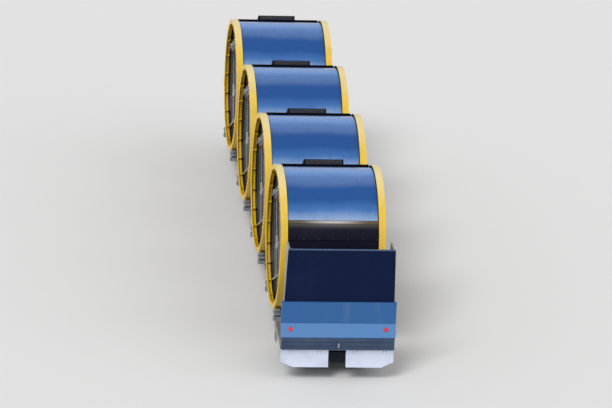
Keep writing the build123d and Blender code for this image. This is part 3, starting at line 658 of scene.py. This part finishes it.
def addArc(bm, radii, xs, angles, steps):  # part of a ring about the X axis
    inner, outer = radii
    start, end = angles
    verts = bmesh.ops.create_grid(bm, x_segments=1, y_segments=1, size=0.5)["verts"]
    bmesh.ops.scale(bm, vec=(abs(xs[1] - xs[0]), outer - inner, 1), verts=verts)
    bmesh.ops.translate(bm, vec=((xs[0] + xs[1]) / 2, (inner + outer) / 2, 0), verts=verts)
    turn = Matrix.Rotation(radians(start), 3, "X")
    bmesh.ops.rotate(bm, cent=(0, 0, 0), matrix=turn, verts=verts)
    face = verts[0].link_faces[0]
    bmesh.ops.spin(
        bm,
        geom=[*verts, *face.edges, face],
        cent=(0, 0, 0),
        axis=(1, 0, 0),
        angle=radians(end - start),
        steps=steps,
        use_duplicate=False,
    )


def addFrame(bm, side, centre, size, corner, edge, proud, x):  # a rounded frame on a wall across X
    verts = bmesh.ops.create_grid(bm, x_segments=1, y_segments=1, size=0.5)["verts"]
    bmesh.ops.scale(bm, vec=(*size, 1), verts=verts)
    bmesh.ops.bevel(
        bm, geom=verts, offset=corner, segments=5, profile=0.5, affect="VERTICES", material=-1
    )
    face = max(bm.faces, key=lambda one: len(one.verts))
    rim = bmesh.ops.inset_region(bm, faces=[face], thickness=edge, use_even_offset=True)["faces"]
    bmesh.ops.delete(bm, geom=[face], context="FACES_ONLY")
    lift = bmesh.ops.extrude_face_region(bm, geom=rim)["geom"]
    raised = [part for part in lift if isinstance(part, bmesh.types.BMVert)]
    bmesh.ops.translate(bm, vec=(0, 0, proud), verts=raised)
    every = list({vert for part in rim if part.is_valid for vert in part.verts} | set(raised))
    basis = Matrix(((0, 0, side), (1, 0, 0), (0, 1, 0)))
    bmesh.ops.transform(bm, matrix=basis.to_4x4(), verts=every)
    bmesh.ops.translate(bm, vec=(side * x, *centre), verts=every)


def addRing(bm, spot, radius, thick):  # a ring that lies flat
    place = Matrix.Translation(Vector(spot) + Vector((radius, 0, 0)))
    place = place @ Matrix.Rotation(pi / 2, 4, "X")
    verts = bmesh.ops.create_circle(bm, segments=8, radius=thick, matrix=place)["verts"]
    edges = list({edge for vert in verts for edge in vert.link_edges})
    bmesh.ops.spin(
        bm, geom=[*verts, *edges], cent=spot, axis=(0, 0, 1), angle=2 * pi, steps=24, use_merge=True
    )


def addPiece(name, bm, body, paintName, place=None):
    if place is not None:
        bmesh.ops.transform(bm, matrix=place, verts=bm.verts)
    bmesh.ops.recalc_face_normals(bm, faces=bm.faces)
    for face in bm.faces:
        face.smooth = True
    for edge in bm.edges:
        edge.smooth = edge.is_manifold and edge.calc_face_angle(0) < radians(35)
    piece = bpy.data.objects.new(name, bpy.data.meshes.new(name))
    bm.to_mesh(piece.data)
    bm.free()
    bpy.context.scene.collection.objects.link(piece)
    piece.data.materials.append(paints[paintName].material)
    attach(piece, body)


def drumPlace(number):  # carries what is drawn in the drum's own axes to its place on the car
    spot = Vector((0, drum["first"] - (number - 1) * drum["pitch"], drum["height"]))
    return Matrix.Translation(spot) @ Matrix.Rotation(-radians(drum["lean"]), 4, "X")


def addToCabin(name, bm, number, paintName):
    addPiece(f"{name}_{number}", bm, f"cabin_{number}", paintName, drumPlace(number))


def onCircle(radius, angle):
    return radius * cos(radians(angle)), radius * sin(radians(angle))


# bolts and splice plates on the rims' outer flanges
rimFixings = {
    "bolts": 20,
    "bolt": (0.014, 0.012),
    "boltRadius": 1.728,
    "splices": 5,
    "spliceTurn": 9,
    "spliceHalf": 3.2,
    "spliceRadii": (1.69, 1.77),
    "spliceProud": 0.008,
    "spliceBoltRadius": 1.712,
    "spliceBoltTurn": 2,
    "spliceBolt": (0.011, 0.012),
}


def makeRimFixings(number):
    bm = bmesh.new()
    for side in (-1, 1):
        outward = (side, 0, 0)
        face = side * drum["rimHalf"]
        proud = face + side * rimFixings["spliceProud"]
        for bolt in range(rimFixings["bolts"]):
            angle = (bolt + 0.5) * 360 / rimFixings["bolts"]
            spot = (face, *onCircle(rimFixings["boltRadius"], angle))
            addBolt(bm, spot, outward, rimFixings["bolt"])
        for splice in range(rimFixings["splices"]):
            angle = splice * 360 / rimFixings["splices"] + rimFixings["spliceTurn"]
            span = (angle - rimFixings["spliceHalf"], angle + rimFixings["spliceHalf"])
            addArc(bm, rimFixings["spliceRadii"], (face - side * beddedThin, proud), span, 6)
            for turn in (-rimFixings["spliceBoltTurn"], rimFixings["spliceBoltTurn"]):
                spot = (proud, *onCircle(rimFixings["spliceBoltRadius"], angle + turn))
                addBolt(bm, spot, outward, rimFixings["spliceBolt"])
    addToCabin("rimFixings", bm, number, "rimYellow")


# rubber strips round the curved glass
glassTrim = {"rise": 0.006, "edgeTurn": 0.35, "sideWidth": 0.014, "facet": 2.5}


def makeGlassTrim(number):
    bm = bmesh.new()
    radii = (drum["skin"] - bedded, drum["skin"] + glassTrim["rise"])
    half = drum["half"] - beddedThin
    edge = glassTrim["edgeTurn"]
    for start, end in ((drum["rearLow"], drum["rearTop"]), (drum["glassTop"], drum["glassLow"])):
        for angle in (start, end):
            addArc(bm, radii, (-half, half), (angle - edge, angle + edge), 1)
        for side in (-1, 1):
            xs = (side * half, side * (half - glassTrim["sideWidth"]))
            addArc(bm, radii, xs, (start, end), round((end - start) / glassTrim["facet"]))
    addToCabin("glassTrim", bm, number, "rubber")


# low black plinth under the roof unit, from rim to rim, with a lip along its downhill edge
plinth = {
    "low": 1.736,
    "high": 1.81,
    "lipHigh": 1.822,
    "half": 1.11,
    "start": 61,
    "end": 90,
    "lipTurn": 0.5,
    "bolt": (0.012, 0.01),
    "boltInset": 0.05,
    "boltAngles": (63, 69.5, 76, 82.5, 88.5),
}


def makeRoofPlinth(number):
    bm = bmesh.new()
    xs = (-plinth["half"], plinth["half"])
    addArc(bm, (plinth["low"], plinth["high"]), xs, (plinth["start"], plinth["end"]), 12)
    lip = (plinth["end"] - plinth["lipTurn"], plinth["end"])
    addArc(bm, (plinth["low"], plinth["lipHigh"]), xs, lip, 1)
    boltX = plinth["half"] - plinth["boltInset"]
    for x in (-boltX, boltX):
        for angle in plinth["boltAngles"]:
            top = onCircle(plinth["high"], angle)
            addBolt(bm, (x, *top), (0, *top), plinth["bolt"])
    addToCabin("roofPlinth", bm, number, "roofBlue")


# bars over the roof unit's downhill and uphill faces, with lifting eyes on top
grille = {
    "bars": 5,
    "first": 1.824,
    "pitch": 0.03,
    "bar": 0.014,
    "half": 0.46,
    "proudTurn": 0.38,
    "beddedTurn": 0.02,
    "eye": (0.018, 12, 0.012),
    "eyeX": 0.36,
    "eyeAngles": (64.5, 80.5),
    "eyeHigh": 0.02,
}


def makeRoofGrille(number):
    bm = bmesh.new()
    proud = grille["proudTurn"]
    starts = (
        drum["unitEnd"] - grille["beddedTurn"],
        drum["unitStart"] - proud + grille["beddedTurn"],
    )
    for bar in range(grille["bars"]):
        inner = grille["first"] + bar * grille["pitch"]
        for start in starts:
            xs = (-grille["half"], grille["half"])
            addArc(bm, (inner, inner + grille["bar"]), xs, (start, start + proud), 1)
    for x in (-grille["eyeX"], grille["eyeX"]):
        for angle in grille["eyeAngles"]:
            foot = (x, *onCircle(drum["unit"] - bedded, angle))
            tip = (x, *onCircle(drum["unit"] + grille["eyeHigh"], angle))
            addRod(bm, foot, tip, *grille["eye"])
    addToCabin("roofGrille", bm, number, "coverGrey")


# covers over the door drives, with a small lamp at each end
driveCover = {
    "half": 1.04,
    "low": 1.153,
    "high": 1.232,
    "middle": 1.192,
    "reach": 1.222,
    "bevel": 0.012,
    "bolt": (0.008, 0.008),
    "boltYs": (-0.8, -0.27, 0.27, 0.8),
    "lamp": (0.024, 20, 0.018),
    "lampYs": (-0.5, 0.5),
    "lampProud": 0.012,
}


def makeDoorDrives(number):
    bm = bmesh.new()
    lamps = bmesh.new()
    for side in (-1, 1):
        face = side * driveCover["reach"]
        ys = (-driveCover["half"], driveCover["half"])
        zs = (driveCover["low"], driveCover["high"])
        addBox(bm, (side * drum["half"], face), ys, zs, driveCover["bevel"])
        for y in driveCover["boltYs"]:
            addBolt(bm, (face, y, driveCover["middle"]), (side, 0, 0), driveCover["bolt"])
        for y in driveCover["lampYs"]:
            foot = Vector((face, y, driveCover["middle"]))
            tip = foot + Vector((side * driveCover["lampProud"], 0, 0))
            addRod(lamps, foot, tip, *driveCover["lamp"])
    addToCabin("doorDrive", bm, number, "coverGrey")
    addToCabin("doorLamps", lamps, number, "lampWhite")


# gasket, meeting strip and push button of each door leaf
leafTrim = {
    "lap": 0.03,  # how much larger than the window the gasket is
    "gasket": 0.022,
    "corner": 0.07,
    "proud": 0.005,
    "strip": (0.0045, 0.03),
    "stripEnds": (-0.97, 1.1),
    "stripBevel": 0.002,
    "button": (0.026, 24, 0.022),
    "buttonAt": (0.062, 0.12),
    "buttonProud": 0.009,
}


def makeLeafTrim(number, sideName, halfName):
    side = -1 if sideName == "left" else 1
    half = -1 if halfName == "downhill" else 1
    name = f"{number}_{sideName}_{halfName}"
    node = f"cabin_{number}_door_{sideName}_{halfName}"
    face = leaf["face"]
    bm = bmesh.new()
    centre = (half * leaf["centre"], leaf["windowMiddle"])
    size = [length + leafTrim["lap"] for length in leaf["window"]]
    corner, gasket, proud = leafTrim["corner"], leafTrim["gasket"], leafTrim["proud"]
    addFrame(bm, side, centre, size, corner, gasket, proud, face - beddedThin)
    xs = (side * (face - bedded), side * (face + proud))
    ys = [half * y for y in leafTrim["strip"]]
    addBox(bm, xs, ys, leafTrim["stripEnds"], leafTrim["stripBevel"])
    addPiece(f"leafTrim_{name}", bm, node, "rubber", drumPlace(number))
    bm = bmesh.new()
    y, z = leafTrim["buttonAt"]
    foot = (side * (face - bedded), half * y, z)
    tip = (side * (face + leafTrim["buttonProud"]), half * y, z)
    addRod(bm, foot, tip, *leafTrim["button"])
    addPiece(f"leafButton_{name}", bm, node, "pushGreen", drumPlace(number))


# wooden slats on the benches and on their backs, which lean a little
bench = {
    "half": 0.95,
    "top": -0.5,
    "slats": 6,
    "first": 0.91,
    "pitch": 0.068,
    "width": 0.056,
    "thick": 0.02,
    "bevel": 0.005,
    "backSlats": 5,
    "back": 1.33,
    "backLean": 0.09,
    "backHigh": 0.4,
    "backGap": 0.03,
    "backSlatHalf": 0.03,
}


def makeSlats(number):
    bm = bmesh.new()
    xs = (-bench["half"], bench["half"])
    for side in (-1, 1):
        for slat in range(bench["slats"]):
            near = bench["first"] + slat * bench["pitch"]
            ys = (side * near, side * (near + bench["width"]))
            addBox(bm, xs, ys, (bench["top"], bench["top"] + bench["thick"]), bench["bevel"])
        for slat in range(bench["backSlats"]):
            share = (slat + 0.5) / bench["backSlats"]
            near = bench["back"] + share * bench["backLean"] - bench["thick"]
            z = bench["top"] + bench["backGap"] + share * bench["backHigh"]
            ys = (side * near, side * (near + bench["thick"]))
            zs = (z - bench["backSlatHalf"], z + bench["backSlatHalf"])
            addBox(bm, xs, ys, zs, bench["bevel"])
    addToCabin("slats", bm, number, "slatWood")


# lamp tubes under the roof, each on two stems
tubes = {
    "tube": (0.03, 14),
    "x": 0.7,
    "half": 0.6,
    "height": 1.5,
    "stem": (0.012, 8),
    "stemY": 0.5,
    "stemTop": 1.62,
}


def makeLampTubes(number):
    bm = bmesh.new()
    height = tubes["height"]
    for x in (-tubes["x"], tubes["x"]):
        addRod(bm, (x, -tubes["half"], height), (x, tubes["half"], height), *tubes["tube"])
        for y in (-tubes["stemY"], tubes["stemY"]):
            addRod(bm, (x, y, height), (x, y, tubes["stemTop"]), *tubes["stem"])
    addToCabin("lampTubes", bm, number, "lampWhite")


# bolts along the belly's stringers
stringers = {
    "count": 12,
    "start": 172,
    "end": 368,
    "top": 1.7675,
    "bolt": (0.009, 0.008),
    "boltXs": (-1.09, -0.73, -0.36, 0, 0.36, 0.73, 1.09),
}


def makeBellyBolts(number):
    bm = bmesh.new()
    step = (stringers["end"] - stringers["start"]) / (stringers["count"] + 1)
    for stringer in range(stringers["count"]):
        top = onCircle(stringers["top"], stringers["start"] + (stringer + 1) * step)
        for x in stringers["boltXs"]:
            addBolt(bm, (x, *top), (0, *top), stringers["bolt"])
    addToCabin("bellyBolts", bm, number, "coverGrey")


for number in range(1, drum["count"] + 1):
    makeRimFixings(number)
    makeGlassTrim(number)
    makeRoofPlinth(number)
    makeRoofGrille(number)
    makeDoorDrives(number)
    makeSlats(number)
    makeLampTubes(number)
    makeBellyBolts(number)
    for sideName in ("left", "right"):
        for halfName in ("downhill", "uphill"):
            makeLeafTrim(number, sideName, halfName)
print("cabins dressed")


# bolts of the roller transoms and brackets, and the locks on the rollers' axles
cradle = {
    "offset": 1.0123,  # of the rollers from the drum's axis, along the car
    "roller": 0.78,
    "transomTop": 0.64,
    "foot": 0.016,  # of the roller brackets
    "beam": 1.0,
    "beamSpread": (0.05, 0.045),
    "beamBolt": (0.014, 0.012),
    "wheel": 1.215,
    "wheelSpread": (0.045, 0.052),
    "wheelBolt": (0.009, 0.01),
    "axleEnd": 1.32,
    "lock": (0.006, 0.04, 0.012),  # proud, half width, half height
    "lockBevel": 0.002,
    "lockSpread": 0.024,
    "lockBolt": (0.006, 0.006),
}


def addFour(bm, middle, spread, size):  # four bolts round a place on a flat top
    x, y, z = middle
    for across in (-spread[0], spread[0]):
        for along in (-spread[1], spread[1]):
            addBolt(bm, (x + across, y + along, z), (0, 0, 1), size)


def makeCradleBolts():
    bm = bmesh.new()
    proud, lockHalf, lockHigh = cradle["lock"]
    top = cradle["transomTop"]
    for number in range(drum["count"]):
        for end in (-1, 1):
            y = drum["first"] - number * drum["pitch"] + end * cradle["offset"]
            for side in (-1, 1):
                spot = (side * cradle["beam"], y, top)
                addFour(bm, spot, cradle["beamSpread"], cradle["beamBolt"])
                spot = (side * cradle["wheel"], y, top + cradle["foot"])
                addFour(bm, spot, cradle["wheelSpread"], cradle["wheelBolt"])
                face = side * (cradle["axleEnd"] + proud)
                xs = (side * (cradle["axleEnd"] - bedded), face)
                zs = (cradle["roller"] - lockHigh, cradle["roller"] + lockHigh)
                addBox(bm, xs, (y - lockHalf, y + lockHalf), zs, cradle["lockBevel"])
                for along in (-cradle["lockSpread"], cradle["lockSpread"]):
                    spot = (face, y + along, cradle["roller"])
                    addBolt(bm, spot, (side, 0, 0), cradle["lockBolt"])
    addPiece("cradleBolts", bm, "chassis", "boltSteel")


# terminal boxes of the level drives' motors, with a cable gland, and the gearboxes' bolts
driveBox = {
    "x": (0.2, 0.34),
    "y": (0.07, 0.17),  # uphill of the drive's shaft
    "z": (0.74, 0.85),
    "bevel": 0.012,
    "bolt": (0.005, 0.005),
    "boltX": (0.215, 0.325),
    "boltZ": (0.755, 0.835),
    "gland": (0.016, 14),
    "glandAt": (0.27, 0.12),
    "glandZ": (0.76, 0.7),
    "gearboxBolt": (0.009, 0.008),
    "gearboxX": (-0.06, 0.06),
    "gearboxY": -0.085,
    "gearboxZ": (0.72, 0.84),
}


def makeDriveBoxes():
    bm = bmesh.new()
    for number in range(drum["count"]):
        shaft = drum["first"] - number * drum["pitch"] + cradle["offset"]
        ys = [shaft + y for y in driveBox["y"]]
        addBox(bm, driveBox["x"], ys, driveBox["z"], driveBox["bevel"])
        for z in driveBox["boltZ"]:
            for x in driveBox["boltX"]:
                addBolt(bm, (x, ys[1], z), (0, 1, 0), driveBox["bolt"])
        x, y = driveBox["glandAt"]
        start, end = driveBox["glandZ"]
        addRod(bm, (x, shaft + y, start), (x, shaft + y, end), *driveBox["gland"])
        for x in driveBox["gearboxX"]:
            for z in driveBox["gearboxZ"]:
                spot = (x, shaft + driveBox["gearboxY"], z)
                addBolt(bm, spot, (0, -1, 0), driveBox["gearboxBolt"])
    addPiece("driveBoxes", bm, "chassis", "coverGrey")


# pipes along the beams' outer webs, held by clips
pipes = {
    "start": -8.2,
    "end": 8.35,
    "heights": (0.47, 0.41),
    "x": 1.026,
    "pipe": (0.013, 12),
    "clips": 18,
    "clipEnd": 0.25,
    "clipHalf": 0.02,
    "clipX": (1.007, 1.043),
    "clipZ": (0.385, 0.495),
    "clipBevel": 0.004,
    "clipBolt": (0.008, 0.008),
}


def makePipes():
    bm = bmesh.new()
    clips = bmesh.new()
    first = pipes["start"] + pipes["clipEnd"]
    length = pipes["end"] - pipes["start"] - 2 * pipes["clipEnd"]
    for side in (-1, 1):
        x = side * pipes["x"]
        for z in pipes["heights"]:
            addRod(bm, (x, pipes["start"], z), (x, pipes["end"], z), *pipes["pipe"])
        xs = [side * reach for reach in pipes["clipX"]]
        for clip in range(pipes["clips"]):
            y = first + clip * length / (pipes["clips"] - 1)
            ys = (y - pipes["clipHalf"], y + pipes["clipHalf"])
            addBox(clips, xs, ys, pipes["clipZ"], pipes["clipBevel"])
            addBolt(clips, (xs[1], y, sum(pipes["clipZ"]) / 2), (side, 0, 0), pipes["clipBolt"])
    addPiece("beamPipes", bm, "chassis", "machinedSteel")
    addPiece("pipeClips", clips, "chassis", "coverGrey")


# rivets round the front wall, its cap, and the bolts along the skirt's top
wallTrim = {
    "inset": 0.022,
    "sideRivets": 9,
    "rowRivets": 18,
    "rowHalf": 1.24,
    "rivet": (0.009, 10, 0.005),
    "rivetProud": 0.005,
    "cap": (0.006, 0.066, 0.012, 0.006),  # before and behind the wall, under and over its top
    "capBevel": 0.003,
    "skirtBolts": 14,
    "skirtBolt": (0.008, 0.006),
    "skirtFirst": 0.1,
    "skirtPitch": 0.098,
    "skirtDrop": 0.03,
}


def addRivet(bm, x, z):
    foot = (x, front["wall"] + beddedThin, z)
    tip = (x, front["wall"] - wallTrim["rivetProud"], z)
    addRod(bm, foot, tip, *wallTrim["rivet"])


def makeWallTrim():
    low, high = front["low"], front["top"]
    inset = wallTrim["inset"]
    bm = bmesh.new()
    for side in (-1, 1):
        for rivet in range(wallTrim["sideRivets"]):
            share = (rivet + 0.5) / wallTrim["sideRivets"]
            half = front["lowHalf"] - share * (front["lowHalf"] - front["topHalf"])
            addRivet(bm, side * (half - inset), low + share * (high - low))
    for z in (low + inset, high - inset):
        for rivet in range(wallTrim["rowRivets"]):
            share = rivet / (wallTrim["rowRivets"] - 1)
            addRivet(bm, wallTrim["rowHalf"] * (2 * share - 1), z)
    addPiece("wallRivets", bm, "chassis", "navyPaint")
    bm = bmesh.new()
    edge = front["topHalf"] - bedded
    before, behind, under, over = wallTrim["cap"]
    ys = (front["wall"] - before, front["wall"] + behind)
    addBox(bm, (-edge, edge), ys, (high - under, high + over), wallTrim["capBevel"])
    addPiece("wallCap", bm, "chassis", "trimTeal")
    bm = bmesh.new()
    for side in (-1, 1):
        for bolt in range(wallTrim["skirtBolts"]):
            x = side * (wallTrim["skirtFirst"] + bolt * wallTrim["skirtPitch"])
            spot = (x, front["wall"], low - wallTrim["skirtDrop"])
            addBolt(bm, spot, (0, -1, 0), wallTrim["skirtBolt"])
    addPiece("skirtBolts", bm, "chassis", "bandBlue")


# stepped lenses and bezel bolts on the tail lamps, square to the skirt's slope
lens = {
    "x": 1.17,
    "z": 1.295,
    "rings": 4,
    "radius": 0.042,
    "ringStep": 0.009,
    "first": 0.0255,
    "rise": 0.003,
    "thick": 0.0035,
    "taper": 0.9,
    "bolt": (0.003, 0.003),
    "boltRadius": 0.052,
    "boltAngles": (45, 135, 225, 315),
    "boltSeat": 0.01,
}


def makeLampLenses():
    bm = bmesh.new()
    tilt = front["slopeReach"] / (front["slope"] - front["skirtLow"])
    normal = Vector((0, -1, tilt)).normalized()
    upward = Vector((0, tilt, 1)).normalized()
    y = front["wall"] - tilt * (front["slope"] - lens["z"])
    for side in (-1, 1):
        seat = Vector((side * lens["x"], y, lens["z"]))
        for ring in range(lens["rings"]):
            radius = lens["radius"] - ring * lens["ringStep"]
            start = seat + normal * (lens["first"] + ring * lens["rise"])
            addRod(bm, start, start + normal * lens["thick"], radius, 24, radius * lens["taper"])
        for angle in lens["boltAngles"]:
            across, up = onCircle(lens["boltRadius"], angle)
            spot = seat + Vector((across, 0, 0)) + upward * up + normal * lens["boltSeat"]
            addBolt(bm, spot, normal, lens["bolt"])
    addPiece("lampLenses", bm, "chassis", "lampRed")


# pads on the bumper beam's face, bolted on
pads = {
    "x": (0.14, 1.33),
    "z": (0.9, 0.99),
    "proud": 0.022,
    "bevel": 0.008,
    "bolts": 6,
    "bolt": (0.01, 0.006),
    "firstBolt": 0.2,
    "boltPitch": 0.212,
}


def makeBumperPads():
    bm = bmesh.new()
    bolts = bmesh.new()
    face = front["bumper"] - pads["proud"]
    for side in (-1, 1):
        xs = [side * x for x in pads["x"]]
        addBox(bm, xs, (face, front["bumper"] + beddedThin), pads["z"], pads["bevel"])
        for bolt in range(pads["bolts"]):
            x = side * (pads["firstBolt"] + bolt * pads["boltPitch"])
            addBolt(bolts, (x, face, sum(pads["z"]) / 2), (0, -1, 0), pads["bolt"])
    addPiece("bumperPads", bm, "chassis", "bumperBlack")
    addPiece("bumperBolts", bolts, "chassis", "coverGrey")


# bolts in the ploughs' upper edges, which lean back a little
ploughBolts = {
    "x": (0.43, 1.15),
    "spread": (-0.03, 0.05),
    "z": (0.74, 0.68),
    "edgeY": -8.888,
    "edgeZ": 0.78,
    "lean": 0.2,
    "normal": (0, -1, 0.1),
    "bolt": (0.011, 0.009),
}


def makePloughBolts():
    bm = bmesh.new()
    for side in (-1, 1):
        for x in ploughBolts["x"]:
            for offset in ploughBolts["spread"]:
                for z in ploughBolts["z"]:
                    y = ploughBolts["edgeY"] + (ploughBolts["edgeZ"] - z) * ploughBolts["lean"]
                    spot = (side * (x + offset), y, z)
                    addBolt(bm, spot, ploughBolts["normal"], ploughBolts["bolt"])
    addPiece("ploughBolts", bm, "chassis", "boltSteel")


# rings to tie goods down, each on a plate
tieRings = {
    "deck": 0.9,
    "spots": ((-1.05, -8.5), (1.05, -8.5), (-1.05, -7.6), (1.05, -7.6), (0, -8.5), (0, -7.6)),
    "plate": (0.05, 0.02, 0.008),  # half width, half length, thickness
    "bevel": 0.003,
    "radius": 0.035,
    "wire": 0.005,
    "lift": 0.012,
}


def makeTieRings():
    bm = bmesh.new()
    wide, long, thick = tieRings["plate"]
    deck = tieRings["deck"]
    zs = (deck - beddedThin, deck + thick)
    for x, y in tieRings["spots"]:
        addBox(bm, (x - wide, x + wide), (y - long, y + long), zs, tieRings["bevel"])
        spot = (x, y + tieRings["radius"], deck + tieRings["lift"])
        addRing(bm, spot, tieRings["radius"], tieRings["wire"])
    addPiece("tieRings", bm, "chassis", "boltSteel")


# steps up to the deck and grab rails on the side panels, all of round bar
steps = {
    "x": 1.365,
    "ys": (-7.62, -7.36),
    "top": 0.75,
    "post": (0.012, 12),
    "tread": (0.014, 12),
    "treadZs": (0.48, 0.6),
    "overhang": 0.012,
    "rail": (0.014, 14),
    "railX": 1.21,
    "railY": -8.2,
    "railZs": (1.44, 2.36),
    "foot": (0.009, 10),
    "footX": 1.256,
    "footZs": (1.5, 2.3),
}


def makeStepsAndRails():
    bm = bmesh.new()
    start = steps["ys"][0] - steps["overhang"]
    end = steps["ys"][1] + steps["overhang"]
    low, high = steps["railZs"]
    for side in (-1, 1):
        x = side * steps["x"]
        for y in steps["ys"]:
            addRod(bm, (x, y, steps["top"]), (x, y, steps["treadZs"][0]), *steps["post"])
        for z in steps["treadZs"]:
            addRod(bm, (x, start, z), (x, end, z), *steps["tread"])
        x, y = side * steps["railX"], steps["railY"]
        for z in steps["footZs"]:
            addRod(bm, (side * steps["footX"], y, z), (x, y, z), *steps["foot"])
        addRod(bm, (x, y, low), (x, y, high), *steps["rail"])
    addPiece("stepsAndRails", bm, "chassis", "machinedSteel")


def makeWheelCaps(nodeName):
    bm = bmesh.new()
    y, z = axleYs[nodeName], running["axleZ"]
    for side in (-1, 1):
        foot = side * (running["hubFace"] - bedded)
        face = side * (running["hubFace"] + running["capProud"])
        addRod(bm, (foot, y, z), (face, y, z), *running["cap"])
        for angle in range(0, 360, 60):
            across, up = onCircle(running["capBoltRadius"], angle)
            addBolt(bm, (face, y + across, z + up), (side, 0, 0), running["capBolt"])
    addPiece(f"caps_{nodeName}", bm, nodeName, "boltSteel")


def makeAxleBoxBolts(name, middle):
    bm = bmesh.new()
    for offset in (-running["wheelbaseHalf"], running["wheelbaseHalf"]):
        for side in (-1, 1):
            for angle in range(30, 390, 60):
                across, up = onCircle(running["boxBoltRadius"], angle)
                spot = (side * running["boxFace"], middle + offset + across, running["axleZ"] + up)
                addBolt(bm, spot, (side, 0, 0), running["boxBolt"])
    addPiece(f"axleBoxBolts_{name}", bm, f"bogie_{name}", "boltSteel")


makeCradleBolts()
makeDriveBoxes()
makePipes()
makeWallTrim()
makeLampLenses()
makeBumperPads()
makePloughBolts()
makeTieRings()
makeStepsAndRails()
for nodeName in axleYs:
    makeWheelCaps(nodeName)
for name, middle in running["bogies"].items():
    makeAxleBoxBolts(name, middle)
print("underframe dressed")


# floor, plain white surroundings and two soft lamps
stage = {
    "floorHalf": 400,
    "floor": (0.8, 0.8, 0.8, 1),
    "world": 0.5,
    "lamps": {"key": (-35, 50, 1.5, 25), "fill": (60, 35, 0.5, 60)},
}


def makeStage():
    floor = bpy.data.objects.new("floor", bpy.data.meshes.new("floor"))
    bm = bmesh.new()
    bmesh.ops.create_grid(bm, x_segments=1, y_segments=1, size=stage["floorHalf"])
    bm.to_mesh(floor.data)
    bm.free()
    bpy.context.scene.collection.objects.link(floor)
    paint = Paint("floor", Roughness=0.9, Base_Color=stage["floor"])
    floor.data.materials.append(paint.material)
    world = bpy.data.worlds.new("world")
    world.use_nodes = True
    bpy.context.scene.world = world
    glow = world.node_tree.nodes["Background"]
    glow.inputs["Color"].default_value = (1, 1, 1, 1)
    glow.inputs["Strength"].default_value = stage["world"]


def makeLamp(name, azimuth, elevation, strength, spread):
    lamp = bpy.data.objects.new(name, bpy.data.lights.new(name, "SUN"))
    lamp.data.energy = strength
    lamp.data.angle = radians(spread)
    lamp.rotation_mode = "QUATERNION"
    lamp.rotation_quaternion = (-wayTo(azimuth, elevation)).to_track_quat("-Z", "Y")
    bpy.context.scene.collection.objects.link(lamp)


makeStage()
for name, settings in stage["lamps"].items():
    makeLamp(name, *settings)
print("stage lit")
